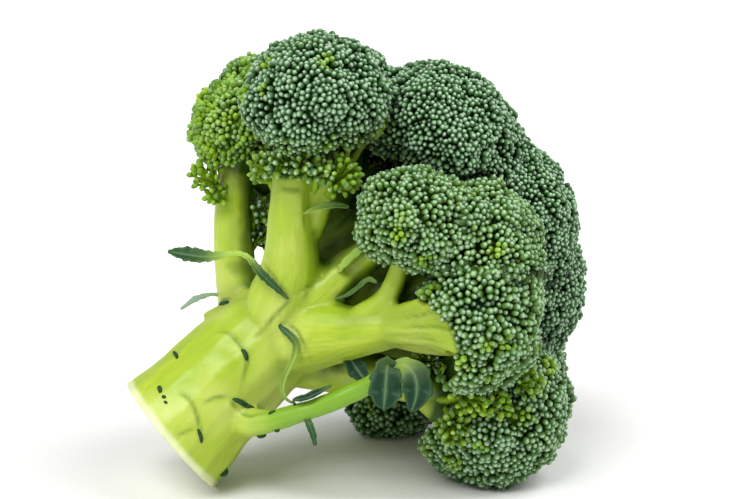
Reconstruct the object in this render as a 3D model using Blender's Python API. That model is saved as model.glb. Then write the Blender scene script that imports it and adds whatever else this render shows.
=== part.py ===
"""A broccoli head lying on its side, resting on the rim of its cut stem and on its crown.

Metres, +Z up. +X runs from the cut stem towards the crown, and +Y runs away from the side
that shows the stem best. The origin is under the middle of the head, on the surface.
The head is one stalk with its limbs, one bud head for each limb, and a few small leaves.
"""

import math
from collections import namedtuple

import bmesh
import bpy
import numpy as np
from mathutils import Matrix, Vector

MM = 0.001

# Driving dimensions
BUD_SPACING = 6.6 * MM
BUD_RELIEF = 2.4 * MM
HIDDEN_SPACING = 13.0 * MM
PIECE_GAP = 0.35 * MM
LIMB_GAP = 1.1 * MM
LEAF_GAP = 0.7 * MM
LEAF_THICKNESS = 0.8 * MM
FOOT_RADIUS = 5.5 * MM
STALK_TRIANGLES = 3100
STALK_VOXEL = 1.3 * MM

# The cut across the stem: a point on it, and the direction that the cut face looks
CUT_POINT = Vector((-62.4, -20.0, 17.7)) * MM
CUT_NORMAL = Vector((-0.765, -0.16, -0.625)).normalized()

# A bud head: its middle, the way it grows, its radius across, its rise above and its drop
# below the middle, and how many lobes bulge from its top. Lengths are in millimetres.
Floret = namedtuple("Floret", "name centre grows side rise drop lobes")
FLORETS = (
    Floret("floret_left", (-40, 8, 117), (-0.4, -0.1, 0.9), 18, 19, 19, 7),
    Floret("floret_left_back", (-33, 29, 122), (-0.35, 0.45, 0.8), 20, 19, 14, 7),
    Floret("floret_back_left", (-32, 48, 90), (-0.45, 0.8, 0.3), 20, 17, 14, 7),
    Floret("floret_top", (-13, -22, 130), (-0.05, -0.2, 1.0), 26, 24, 21, 12),
    Floret("floret_crown_upper", (27, -6, 116), (0.45, -0.1, 0.85), 29, 26, 15, 12),
    Floret("floret_crown_middle", (50, 2, 88), (0.85, -0.05, 0.4), 28, 26, 15, 11),
    Floret("floret_crown_lower", (57, 14, 60), (0.95, 0.05, -0.1), 27, 23, 13, 10),
    Floret("floret_front_upper", (17, -42, 96), (0.1, -0.75, 0.6), 19, 18, 13, 8),
    Floret("floret_front_middle", (37, -38, 62), (0.7, -0.65, 0.0), 26, 24, 14, 11),
    Floret("floret_front_right", (40, -33, 86), (0.7, -0.6, 0.35), 23, 21, 12, 8),
    Floret("floret_base_front", (46, -12, 24.6), (0.75, -0.15, -0.6), 29, 27, 24, 13),
    Floret("floret_base_back", (13, 44, 15.6), (0.2, 0.45, -0.85), 21, 18, 14, 8),
    Floret("floret_base_right", (51, 30, 33), (0.75, 0.4, -0.45), 26, 25, 14, 9),
    Floret("floret_back_top", (-4, 30, 121), (-0.1, 0.4, 0.9), 25, 22, 13, 10),
    Floret("floret_back_upper", (33, 38, 100), (0.5, 0.5, 0.65), 28, 26, 14, 11),
    Floret("floret_back_lower", (46, 46, 66), (0.75, 0.65, 0.05), 27, 25, 14, 10),
    Floret("floret_back_side", (0, 58, 88), (-0.1, 0.9, 0.4), 26, 23, 14, 9),
    Floret("floret_back_deep", (14, 62, 54), (0.1, 0.95, -0.25), 25, 22, 14, 9),
)
CORE_SHARE = 0.88
LOBE_SIZE = 0.5
LOBE_BLEND = 0.9 * MM
LOBE_LOWEST = -0.25
UNDERSIDE = math.cos(math.radians(128))
GOLDEN_ANGLE = math.pi * (3.0 - math.sqrt(5.0))

# The limbs of the stalk: points along each, x, y, z and the radius there, in millimetres
LIMBS = (
    # The trunk, from beyond the cut to the fork
    ((-73, -23, 8.5, 24), (-62, -20, 17.7, 23.6), (-52, -18, 28.5, 20.8),
     (-40, -14, 40, 19.5), (-28, -9, 50, 18.8), (-14, -2, 60, 15)),
    # The core beyond the fork, up the middle of the crown
    ((-22, -7, 54, 17), (-8, 2, 66, 14), (4, 6, 78, 12.5), (18, 4, 92, 11), (28, -2, 106, 8)),
    ((4, 6, 76, 11), (20, 8, 84, 10), (36, 7, 88, 8)),
    ((0, 4, 68, 10), (22, 8, 64, 9), (46, 11, 58, 7.5)),
    # The limb at the left
    ((-36, -6, 50, 10), (-40.5, 2, 61, 8.4), (-42.5, 5, 77, 7), (-42.5, 7, 92, 6.8), (-41, 10, 106, 5.5)),
    ((-42, 8, 90, 4.5), (-37, 20, 104, 4.5), (-31, 31, 114, 4)),
    # The broad limb that carries the top head, and its side limb
    ((-30, -12, 47, 13), (-25, -17, 62, 12.5), (-21, -20, 77, 10.2),
     (-20.6, -22, 93, 8.2), (-20.6, -23, 108, 7.4)),
    ((-20, -20, 80, 6), (-13.5, -21, 92, 6), (-10, -23, 107, 5.6)),
    # The short limb with a leaf scar, going on in the shade to the upper front head
    ((-26, -12, 53, 9), (-13, -17, 65, 8.4), (-3, -16, 73, 7.5), (6, -22, 82, 6), (14, -32, 90, 4.5)),
    # The broad limb to the front, and what it splits into
    ((-27, -12, 48, 13.5), (-14, -22, 53, 12), (-1, -30, 56, 9.2),
     (12, -34, 57.5, 8), (24, -37, 60, 7.5)),
    ((4, -31, 56, 5), (13, -33, 68, 3.4), (15, -37, 84, 3)),
    ((14, -34, 58, 6), (25, -36, 66, 4.5), (36, -38, 72, 4)),
    ((14, -35, 57, 5.5), (26, -39, 53, 4.2), (35, -41, 54, 3.6)),
    ((2, -26, 58, 7), (24, -27, 72, 6), (42, -28, 82, 5)),
    # The limbs at the bottom of the crown
    ((-24, -8, 42, 11), (-8, -6, 37, 9), (8, -7, 35, 7.6), (22, -11, 32, 6.6), (36, -15, 29, 5)),
    ((20, -11, 32, 5), (28, -17, 24, 4), (35, -20, 18, 3.4)),
    ((-22, -3, 44, 10.5), (-6, 10, 35, 9), (6, 22, 27, 7.5), (13, 31, 22, 6)),
    ((-8, 5, 48, 10), (14, 18, 42, 8.5), (34, 31, 37, 6.5)),
    # The limbs at the back
    ((-14, 2, 60, 11), (-10, 12, 80, 8.5), (-5, 24, 102, 7), (-2, 30, 116, 6)),
    ((-2, 6, 70, 10), (14, 20, 82, 9), (27, 33, 95, 7)),
    ((-4, 6, 60, 10.5), (18, 24, 64, 9), (36, 38, 67, 7)),
    ((-26, -4, 50, 11), (-23, 14, 60, 7.5), (-25, 30, 72, 6), (-30, 42, 84, 5)),
    ((-12, 4, 56, 11), (-8, 24, 68, 8.5), (-3, 42, 80, 7.5), (-1, 52, 87, 6)),
    ((-16, 2, 50, 11), (-6, 26, 52, 8.5), (6, 46, 54, 7.5), (11, 56, 55, 6)),
    # The cut leaf stalk that crosses the front, and the stubs of two others
    ((-42, -24, 25, 7), (-33, -36, 26, 4.8), (-22.5, -40.5, 29.7, 3.8),
     (-9.5, -42.5, 34.9, 3.8), (4, -44.5, 41.6, 3.5), (8.5, -45.6, 45.5, 2.8), (11.6, -46, 49.2, 2)),
    ((-44, -8, 50, 5.5), (-49, -7, 58.5, 4.2)),
    ((-40, 4, 40, 8), (-50, 14, 44, 4.6)),
)

# A leaf: the points of its midrib, the half width at each, the way its upper side looks
# at its base and at its tip, how much its edges rise, and its teeth. Millimetres.
Leaf = namedtuple("Leaf", "name spine half_widths up_base up_tip cup teeth")
LEAVES = (
    Leaf("leaf_curled",
         ((-22.4, -31, 66.8), (-25.6, -31.8, 70), (-29.5, -31, 73.6), (-33.4, -28, 77.4), (-38.4, -24, 80.4),
          (-44, -21.5, 79.6), (-51, -19.5, 78.7), (-57, -19, 79.4), (-62, -18.6, 80.2)),
         (0.9, 1.5, 1.8, 1.6, 1.3, 1.4, 2.7, 2.6, 0.7), (0.5, -0.6, 0.6), (0.1, -0.75, 0.65), 0.25, 11),
    Leaf("leaf_low_left",
         ((10.2, -49.4, 50), (9.8, -50.6, 46.5), (9.5, -51.6, 42.5), (9.2, -52.2, 38.6), (8.9, -52.4, 36.2)),
         (3.2, 4.3, 4.4, 3.6, 0.9), (0.0, -0.9, 0.4), (0.0, -1.0, 0.0), 0.1, 4),
    Leaf("leaf_low_right",
         ((16.4, -49.4, 50.2), (19, -50.8, 47.6), (19.9, -52.6, 43.6), (19.4, -53.6, 39.6), (18, -54, 35.8)),
         (1.4, 3.8, 4.3, 3.4, 0.8), (0.1, -0.8, 0.5), (0.1, -1.0, -0.1), 0.1, 4),
    Leaf("leaf_pale",
         ((-44, 1, 60.8), (-50, -1, 61.8), (-55, -2, 60.4), (-60, -3, 57)),
         (0.9, 1.1, 1.9, 0.6), (-0.2, -0.6, 0.8), (-0.4, -0.6, 0.7), 0.2, 5),
    Leaf("leaf_clasping",
         ((-25.2, -31, 57.5), (-22.3, -32.4, 55.8), (-19.6, -34.4, 53.3), (-20, -34.6, 49.5),
          (-22.5, -35, 44), (-24.8, -35.6, 38.8), (-23.6, -37, 35.8), (-21.4, -38, 35.4)),
         (0.9, 1.4, 1.4, 1.1, 1.1, 1.1, 1.0, 0.6), (0.3, -0.9, 0.2), (0.2, -0.9, -0.1), 0.3, 7),
    Leaf("leaf_scar",
         ((-5, -26.6, 76.2), (-2, -28.2, 79.7), (1.9, -30.6, 83.5), (4.9, -32.4, 86.6)),
         (1.6, 2.0, 1.8, 0.8), (-0.5, -0.7, 0.5), (-0.5, -0.7, 0.5), 0.25, 5),
    Leaf("leaf_folded",
         ((-6.3, -28, 66.6), (-2, -29.4, 68.2), (1.9, -31, 71.4), (4.2, -32.6, 74.4), (6.6, -34, 74)),
         (0.8, 1.3, 1.4, 1.2, 0.6), (0.1, -0.5, 0.9), (-0.2, -0.6, 0.8), 0.3, 5),
    Leaf("leaf_hanging",
         ((-16, -43.4, 30), (-14.9, -44.7, 28), (-13.9, -45.4, 25.5), (-13.3, -45.6, 22)),
         (1.3, 1.4, 1.3, 0.8), (0.2, -1.0, 0.1), (0.4, -0.9, 0.1), 0.2, 4),
    Leaf("leaf_bract",
         ((-15.9, -30.6, 95.4), (-12.3, -31.8, 97.4), (-7.1, -32.6, 98.4), (-2.2, -32.6, 97.9)),
         (0.8, 1.6, 1.7, 0.7), (0.1, -0.5, 0.9), (0.1, -0.6, 0.8), 0.3, 4),
)


def clear_scene():
    for obj in list(bpy.data.objects):
        bpy.data.objects.remove(obj)


def material(name, colour, roughness):
    made = bpy.data.materials.new(name)
    made.use_nodes = True
    shader = made.node_tree.nodes["Principled BSDF"]
    shader.inputs["Base Color"].default_value = (*colour, 1.0)
    shader.inputs["Roughness"].default_value = roughness
    shader.inputs["Metallic"].default_value = 0.0
    return made


def link(name, mesh, finish):
    obj = bpy.data.objects.new(name, mesh)
    obj.data.materials.append(finish)
    bpy.context.scene.collection.objects.link(obj)
    return obj


def helper(obj):
    """Marks a cutter, which is no part of the head."""
    obj.hide_render = True
    obj.display_type = "WIRE"
    return obj


def evaluated_mesh(obj):
    graph = bpy.context.evaluated_depsgraph_get()
    return bpy.data.meshes.new_from_object(obj.evaluated_get(graph), depsgraph=graph)


def even_directions(count):
    """Directions spread evenly over the sphere, along a spiral from pole to pole."""
    steps = np.arange(count)
    height = 1.0 - 2.0 * (steps + 0.5) / count
    ring = np.sqrt(1.0 - height**2)
    turn = steps * GOLDEN_ANGLE
    return np.stack([ring * np.cos(turn), ring * np.sin(turn), height], axis=1)


def growing_frame(grows):
    """Columns across, across and along the way a bud head grows."""
    along = Vector(grows).normalized()
    return np.array(along.to_track_quat("Z", "Y").to_matrix())


def dome_reach(floret, local):
    """How far the plain dome reaches from its middle along each local direction."""
    axial = np.where(local[:, 2] > 0.0, floret.rise, floret.drop) * MM
    across = np.hypot(local[:, 0], local[:, 1]) / (floret.side * MM)
    return 1.0 / np.hypot(across, local[:, 2] / axial)


def sphere_reach(local, centre, radius):
    """The far crossing of each local direction with a sphere, or 0 where it misses."""
    along = local @ centre
    inside = along**2 - (centre @ centre - radius**2)
    reach = along + np.sqrt(np.maximum(inside, 0.0))
    return np.where(inside > 0.0, reach, 0.0)


def lobed_reach(floret, local):
    """The dome with its lobes, which are spheres set into its upper side."""
    total = np.exp(CORE_SHARE * dome_reach(floret, local) / LOBE_BLEND)
    top = 1.0
    for step in range(floret.lobes):
        height = top - (top - LOBE_LOWEST) * (step + 0.5) / floret.lobes
        ring = math.sqrt(1.0 - height * height)
        turn = step * GOLDEN_ANGLE + floret.lobes
        way = np.array([[ring * math.cos(turn), ring * math.sin(turn), height]])
        radius = LOBE_SIZE * floret.side * MM * (0.88 + 0.24 * ((step * 5) % 7) / 6.0)
        out = dome_reach(floret, way)[0] - radius
        total += np.exp(sphere_reach(local, way[0] * out, radius) / LOBE_BLEND)
    return LOBE_BLEND * np.log(total)


def neighbour_planes(floret):
    """(normal, distance) of the planes between this bud head and the others, and the floor."""
    centre = np.array(floret.centre) * MM
    planes = [(np.array([0.0, 0.0, -1.0]), centre[2])]
    for other in FLORETS:
        if other is floret:
            continue
        apart = np.array(other.centre) * MM - centre
        span = np.linalg.norm(apart)
        power = (floret.side**2 - other.side**2) * MM**2
        planes.append((apart / span, (span**2 + power) / (2.0 * span) - PIECE_GAP))
    return planes


def clipped_reach(floret, directions):
    """(reach, exposed): the lobed dome, stopped at the planes where it meets another or rests."""
    free = lobed_reach(floret, directions @ growing_frame(floret.grows))
    reach = free.copy()
    for normal, distance in neighbour_planes(floret):
        towards = directions @ normal
        stop = np.where(towards > 1e-6, distance / np.maximum(towards, 1e-6), np.inf)
        reach = np.minimum(reach, stop)
    return reach, reach > free - 1e-9


def foot_directions(floret):
    """Directions to the middle and rim of the flat spot of a head that rests on the surface."""
    height = floret.centre[2] * MM
    turn = np.arange(8) * math.pi / 4
    rim = np.stack([np.cos(turn), np.sin(turn), np.zeros(8)], axis=1) * FOOT_RADIUS
    spots = np.concatenate([np.zeros((1, 3)), rim]) - [0.0, 0.0, height]
    ways = spots / np.linalg.norm(spots, axis=1)[:, None]
    reach, _ = clipped_reach(floret, ways)
    rests = np.abs(reach * -ways[:, 2] - height) < 1e-7
    return ways if rests.all() else np.zeros((0, 3))


def bud_directions(floret):
    """(directions, exposed): buds close together where the head shows, far apart where it doesn't."""
    mean = (floret.side * 2 + floret.rise) / 3 * MM
    fine = even_directions(int(4 * math.pi * mean**2 / (BUD_SPACING**2 * 0.866)))
    coarse = even_directions(int(4 * math.pi * mean**2 / (HIDDEN_SPACING**2 * 0.866)))
    frame = growing_frame(floret.grows)
    _, fine_shows = clipped_reach(floret, fine @ frame.T)
    _, coarse_shows = clipped_reach(floret, coarse @ frame.T)
    fine_shows &= fine[:, 2] > UNDERSIDE
    coarse_shows &= coarse[:, 2] > UNDERSIDE
    buds = fine[fine_shows] @ frame.T
    kept = [buds, foot_directions(floret)]
    for way in coarse[~coarse_shows] @ frame.T:
        apart = np.linalg.norm(np.concatenate(kept) - way, axis=1)
        if apart.min() > BUD_SPACING / mean:
            kept.append(way[None])
    directions = np.concatenate(kept)
    return directions, np.arange(len(directions)) < len(buds)


def spherical_triangles(directions):
    """The triangles between neighbouring directions, from the hull of their points."""
    hull = bmesh.new()
    for way in directions:
        hull.verts.new(way)
    bmesh.ops.convex_hull(hull, input=hull.verts)
    hull.verts.index_update()
    faces = [[v.index for v in face.verts] for face in hull.faces]
    hull.free()
    return faces


def bud_head_mesh(floret):
    """Each bud is a blunt point, and the hollows between buds are sunk below it."""
    directions, exposed = bud_directions(floret)
    triangles = spherical_triangles(directions)
    relief = [any(exposed[i] for i in corners) for corners in triangles]
    hollow_ways = []
    hollow_of = {}
    for number, corners in enumerate(triangles):
        if relief[number]:
            way = directions[corners].sum(axis=0)
            hollow_of[number] = len(directions) + len(hollow_ways)
            hollow_ways.append(way / np.linalg.norm(way))
    every = np.concatenate([directions, np.array(hollow_ways)])
    sunk = np.zeros(len(every))
    sunk[len(directions):] = BUD_RELIEF
    clipped, _ = clipped_reach(floret, every)
    free = lobed_reach(floret, every @ growing_frame(floret.grows))
    reach = np.minimum(clipped, free - sunk)
    points = every * reach[:, None] + np.array(floret.centre) * MM
    faces = []
    edges = {}
    for number, corners in enumerate(triangles):
        if not relief[number]:
            faces.append(corners)
        for a, b in zip(corners, corners[1:] + corners[:1]):
            edges.setdefault(frozenset((a, b)), []).append((number, a, b))
    for sides in edges.values():
        (one, a, b), (two, _, _) = sides
        if relief[one] and relief[two]:
            faces.append([a, hollow_of[two], hollow_of[one]])
            faces.append([b, hollow_of[one], hollow_of[two]])
        elif relief[one]:
            faces.append([a, b, hollow_of[one]])
        elif relief[two]:
            faces.append([b, a, hollow_of[two]])
    mesh = bpy.data.meshes.new(floret.name)
    mesh.from_pydata(points.tolist(), [], faces)
    tidy_normals(mesh)
    return mesh


def tidy_normals(mesh):
    work = bmesh.new()
    work.from_mesh(mesh)
    bmesh.ops.recalc_face_normals(work, faces=work.faces)
    work.to_mesh(mesh)
    work.free()


def floret_clearance(head, floret, gap):
    """The hull of a bud head, larger by a gap, which the limbs stop at."""
    middle = Vector(floret.centre) * MM
    hull = bmesh.new()
    for vert in head.data.vertices:
        way = vert.co - middle
        hull.verts.new(vert.co + way.normalized() * gap)
    made = bmesh.ops.convex_hull(hull, input=hull.verts)
    inside = set(made["geom_interior"]) | set(made["geom_unused"])
    bmesh.ops.delete(hull, geom=[v for v in inside if isinstance(v, bmesh.types.BMVert)], context="VERTS")
    mesh = bpy.data.meshes.new("clearance_" + floret.name)
    hull.to_mesh(mesh)
    hull.free()
    tidy_normals(mesh)
    return mesh


def limb_curves():
    """Every limb as one spline of a bevelled curve, its radius following its points."""
    curve = bpy.data.curves.new("limbs", "CURVE")
    curve.dimensions = "3D"
    curve.bevel_depth = 1.0
    curve.bevel_resolution = 6
    curve.use_fill_caps = True
    for limb in LIMBS:
        spline = curve.splines.new("NURBS")
        spline.points.add(len(limb) - 1)
        for point, (x, y, z, radius) in zip(spline.points, limb):
            point.co = (x * MM, y * MM, z * MM, 1.0)
            point.radius = radius * MM
        spline.order_u = 3
        spline.use_endpoint_u = True
        spline.resolution_u = 8
    return curve


def half_space(name, point, normal, finish):
    """A block that fills the side of a plane that its normal looks to."""
    size = 0.4
    block = bmesh.new()
    bmesh.ops.create_cube(block, size=size)
    turn = Vector(normal).to_track_quat("Z", "Y").to_matrix().to_4x4()
    place = Matrix.Translation(Vector(point) + Vector(normal) * size / 2)
    bmesh.ops.transform(block, matrix=place @ turn, verts=block.verts)
    mesh = bpy.data.meshes.new(name)
    block.to_mesh(mesh)
    block.free()
    return helper(link(name, mesh, finish))


def cut(obj, cutter=None, collection=None):
    boolean = obj.modifiers.new("cut", "BOOLEAN")
    boolean.operation = "DIFFERENCE"
    boolean.solver = "EXACT"
    if collection is not None:
        boolean.operand_type = "COLLECTION"
        boolean.collection = collection
    else:
        boolean.object = cutter


def largest_body(obj):
    """Applies the modifiers and drops the small scraps that a cut left loose."""
    mesh = evaluated_mesh(obj)
    work = bmesh.new()
    work.from_mesh(mesh)
    left = set(work.verts)
    bodies = []
    while left:
        seen = {left.pop()}
        front = list(seen)
        while front:
            for edge in front.pop().link_edges:
                for vert in edge.verts:
                    if vert not in seen:
                        seen.add(vert)
                        front.append(vert)
        left -= seen
        bodies.append(seen)
    bodies.sort(key=len)
    for scrap in bodies[:-1]:
        bmesh.ops.delete(work, geom=list(scrap), context="VERTS")
    work.to_mesh(mesh)
    work.free()
    obj.modifiers.clear()
    obj.data = mesh
    return obj


def cut_florets(obj, heads, gap):
    cutters = bpy.data.collections.new("clearances")
    bpy.context.scene.collection.children.link(cutters)
    for head, floret in zip(heads, FLORETS):
        mesh = floret_clearance(head, floret, gap)
        cutters.objects.link(helper(bpy.data.objects.new(mesh.name, mesh)))
    cut(obj, collection=cutters)
    apply_modifiers(obj)
    for cutter in list(cutters.objects):
        bpy.data.objects.remove(cutter)
    bpy.data.collections.remove(cutters)


def apply_modifiers(obj):
    mesh = evaluated_mesh(obj)
    obj.modifiers.clear()
    obj.data = mesh


def remesh(obj, smoothing):
    """One even skin round everything in the mesh, smoothed a number of times."""
    skin = obj.modifiers.new("skin", "REMESH")
    skin.mode = "VOXEL"
    skin.voxel_size = STALK_VOXEL
    smooth = obj.modifiers.new("smooth", "SMOOTH")
    smooth.factor = 0.5
    smooth.iterations = smoothing


def make_stalk(heads, finish):
    curve = bpy.data.objects.new("limbs", limb_curves())
    bpy.context.scene.collection.objects.link(curve)
    stalk = link("stalk", evaluated_mesh(curve), finish)
    bpy.data.objects.remove(curve)
    remesh(stalk, 7)
    apply_modifiers(stalk)
    cut_florets(stalk, heads, LIMB_GAP)
    remesh(stalk, 1)
    largest_body(stalk)
    stalk.data.calc_loop_triangles()
    thin = stalk.modifiers.new("thin", "DECIMATE")
    thin.ratio = STALK_TRIANGLES / len(stalk.data.loop_triangles)
    apply_modifiers(stalk)
    cut_florets(stalk, heads, 2 * PIECE_GAP)
    cut(stalk, cutter=half_space("stem_cut", CUT_POINT, CUT_NORMAL, finish))
    cut(stalk, cutter=half_space("surface_cut", (0, 0, 0), (0, 0, -1), finish))
    return largest_body(stalk)


def leaf_mesh(leaf):
    """A thin blade along its midrib, toothed along both edges, with matching faces on both sides."""
    spine = np.array(leaf.spine) * MM
    widths = np.array(leaf.half_widths) * MM
    stations = leaf.teeth * 2 + 1
    at = np.linspace(0.0, len(spine) - 1.0, stations)
    knots = np.arange(len(spine))
    line = np.stack([np.interp(at, knots, spine[:, axis]) for axis in range(3)], axis=1)
    for _ in range(2):
        line[1:-1] = 0.25 * line[:-2] + 0.5 * line[1:-1] + 0.25 * line[2:]
    half = np.interp(at, knots, widths)
    half[1::2] *= 1.12
    half[2:-1:2] *= 0.82
    along = np.gradient(line, axis=0)
    along /= np.linalg.norm(along, axis=1)[:, None]
    blend = np.linspace(0.0, 1.0, stations)[:, None]
    up = np.array(leaf.up_base) * (1 - blend) + np.array(leaf.up_tip) * blend
    side = np.cross(up, along)
    side /= np.linalg.norm(side, axis=1)[:, None]
    up = np.cross(along, side)
    rows = []
    for across in (-1.0, 0.0, 1.0):
        rise = leaf.cup * half * abs(across)
        rows.append(line + side * (half * across)[:, None] + up * rise[:, None])
    middle = np.stack(rows, axis=1)
    shift = up[:, None, :] * (LEAF_THICKNESS / 2)
    grid = np.stack([middle + shift, middle - shift], axis=0)
    mesh = bpy.data.meshes.new(leaf.name)
    faces = blade_faces(stations)
    mesh.from_pydata(grid.reshape(-1, 3).tolist(), [], faces)
    tidy_normals(mesh)
    return mesh


def blade_faces(stations):
    """Triangles of a three-row strip, the same above and below, closed round its border."""

    def number(side, station, row):
        return (side * stations + station) * 3 + row

    faces = []
    for station in range(stations - 1):
        for row in (0, 1):
            corners = [(station, row), (station + 1, row), (station + 1, row + 1), (station, row + 1)]
            turn = 0 if row == 0 else 1
            order = corners[turn:] + corners[:turn]
            for side in (0, 1):
                a, b, c, d = (number(side, *corner) for corner in order)
                faces += [[a, b, c], [a, c, d]]
    border = [(s, 0) for s in range(stations)] + [(stations - 1, 1)]
    border += [(s, 2) for s in reversed(range(stations))] + [(0, 1)]
    for here, there in zip(border, border[1:] + border[:1]):
        a, b = number(0, *here), number(0, *there)
        c, d = number(1, *there), number(1, *here)
        faces += [[a, b, c], [a, c, d]]
    return faces


def stalk_clearance(stalk, finish):
    """The stalk a little larger, with an even skin, which the leaves stop at."""
    grown = helper(link("stalk_clearance", stalk.data.copy(), finish))
    swell = grown.modifiers.new("swell", "DISPLACE")
    swell.mid_level = 0.0
    swell.strength = LEAF_GAP
    skin = grown.modifiers.new("skin", "REMESH")
    skin.mode = "VOXEL"
    skin.voxel_size = STALK_VOXEL
    apply_modifiers(grown)
    return grown


def stand_on_origin(pieces):
    """Moves the whole head so that the origin is under its middle."""
    points = np.array([v.co[:] for obj in pieces for v in obj.data.vertices])
    middle = (points.min(axis=0) + points.max(axis=0)) / 2
    shift = Matrix.Translation((-middle[0], -middle[1], 0.0))
    for obj in pieces:
        obj.data.transform(shift)


def main():
    clear_scene()
    pale = material("stalk_green", (0.46, 0.60, 0.13), 0.45)
    dark = material("bud_green", (0.055, 0.16, 0.055), 0.6)
    leafy = material("leaf_green", (0.05, 0.20, 0.06), 0.5)
    heads = [link(floret.name, bud_head_mesh(floret), dark) for floret in FLORETS]
    stalk = make_stalk(heads, pale)
    pieces = [stalk] + heads
    clearance = stalk_clearance(stalk, pale)
    for leaf in LEAVES:
        blade = link(leaf.name, leaf_mesh(leaf), leafy)
        cut(blade, cutter=clearance)
        cut_florets(blade, heads, 2 * PIECE_GAP)
        pieces.append(largest_body(blade))
    bpy.data.objects.remove(clearance)
    stand_on_origin(pieces)


main()
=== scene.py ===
"""Looks for the broccoli head: buds, stalklets, the skin of the stalk and the leaves."""

import math
from collections import namedtuple
from itertools import product

import bmesh
import bpy
import numpy as np
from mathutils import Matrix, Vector, noise
from mathutils.bvhtree import BVHTree


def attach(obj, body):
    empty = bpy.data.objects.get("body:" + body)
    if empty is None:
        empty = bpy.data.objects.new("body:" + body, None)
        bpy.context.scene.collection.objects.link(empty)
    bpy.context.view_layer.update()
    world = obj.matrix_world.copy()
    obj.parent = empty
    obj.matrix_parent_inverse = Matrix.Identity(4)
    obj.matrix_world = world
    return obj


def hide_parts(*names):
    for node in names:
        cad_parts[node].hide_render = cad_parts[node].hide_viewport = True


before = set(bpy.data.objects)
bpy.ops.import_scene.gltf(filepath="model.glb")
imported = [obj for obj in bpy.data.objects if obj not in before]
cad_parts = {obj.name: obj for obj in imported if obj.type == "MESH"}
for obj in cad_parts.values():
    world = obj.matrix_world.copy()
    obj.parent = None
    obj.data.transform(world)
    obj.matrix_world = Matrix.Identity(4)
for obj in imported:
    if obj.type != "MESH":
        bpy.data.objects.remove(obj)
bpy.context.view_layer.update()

MM = 0.001
# The tables below are in the part's own drawing, whose origin isn't under its middle.
SHIFT = np.array([-1.069, -10.505, 0.0])
PART_SIZE = 4000
GOLDEN_ANGLE = math.pi * (3.0 - math.sqrt(5.0))

# A bud head: its middle, the way it grows, its radius across, its rise above and its drop
# below the middle, its lobes, the distance from bud to bud, how yellow it is, and the mass
# it belongs to. Heads of one mass run into each other with hardly a crease.
Floret = namedtuple("Floret", "name centre grows side rise drop lobes bud yellow mass")
FLORETS = (
    Floret("floret_left", (-40, 8, 117), (-0.4, -0.1, 0.9), 18, 19, 19, 7, 1.95, 0.9, "left"),
    Floret("floret_left_back", (-33, 29, 122), (-0.35, 0.45, 0.8), 20, 19, 14, 7, 2.0, 0.6, "left"),
    Floret("floret_back_left", (-32, 48, 90), (-0.45, 0.8, 0.3), 20, 17, 14, 7, 2.1, 0.15, "side"),
    Floret("floret_top", (-13, -22, 130), (-0.05, -0.2, 1.0), 26, 24, 21, 12, 1.88, 0.10, "top"),
    Floret("floret_crown_upper", (27, -6, 116), (0.45, -0.1, 0.85), 29, 26, 15, 12, 1.72, 0.03, "crown"),
    Floret("floret_crown_middle", (50, 2, 88), (0.85, -0.05, 0.4), 28, 26, 15, 11, 1.70, 0.03, "crown"),
    Floret("floret_crown_lower", (57, 14, 60), (0.95, 0.05, -0.1), 27, 23, 13, 10, 1.75, 0.03, "crown"),
    Floret("floret_front_upper", (17, -42, 96), (0.1, -0.75, 0.6), 19, 18, 13, 8, 1.85, 0.25, "front"),
    Floret("floret_front_middle", (37, -38, 62), (0.7, -0.65, 0.0), 26, 24, 14, 11, 2.05, 0.12, "front"),
    Floret("floret_front_right", (40, -33, 86), (0.7, -0.6, 0.35), 23, 21, 12, 8, 1.9, 0.10, "front"),
    Floret("floret_base_front", (46, -12, 24.6), (0.75, -0.15, -0.6), 29, 27, 24, 13, 2.0, 0.20, "base"),
    Floret("floret_base_back", (13, 44, 15.6), (0.2, 0.45, -0.85), 21, 18, 14, 8, 2.1, 0.02, "base"),
    Floret("floret_base_right", (51, 30, 33), (0.75, 0.4, -0.45), 26, 25, 14, 9, 2.1, 0.05, "base"),
    Floret("floret_back_top", (-4, 30, 121), (-0.1, 0.4, 0.9), 25, 22, 13, 10, 2.1, 0.06, "top"),
    Floret("floret_back_upper", (33, 38, 100), (0.5, 0.5, 0.65), 28, 26, 14, 11, 2.1, 0.04, "crown"),
    Floret("floret_back_lower", (46, 46, 66), (0.75, 0.65, 0.05), 27, 25, 14, 10, 2.1, 0.04, "crown"),
    Floret("floret_back_side", (0, 58, 88), (-0.1, 0.9, 0.4), 26, 23, 14, 9, 2.1, 0.06, "side"),
    Floret("floret_back_deep", (14, 62, 54), (0.1, 0.95, -0.25), 25, 22, 14, 9, 2.1, 0.04, "side"),
)
JOINED = {True: 11.0, False: 3.0}
# Where a head is open at one side, so that its limb shows: the way it opens and how wide
BARE = {"floret_front_middle": ((-0.82, -0.50, -0.28), 46.0)}
BARE_DEPTH = 0.74
CORE_DEPTH = 2.6
CORE_SHARE = 0.88
LOBE_SIZE = 0.5
LOBE_BLEND = 0.9
LOBE_LOWEST = -0.25
PIECE_GAP = 0.35
CREASE_DEPTH = 4.0
UNDERSIDE = math.cos(math.radians(118))
CLUSTER_SPACING = 9.0
TUFT_SPACING = 4.6
BUD_WIDTH = 0.60
NECK_DEPTH = 5.0
# The masses where every bud has some yellow in it
FRESH = {"front": 0.23, "left": 0.48, "base": 0.12}

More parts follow.
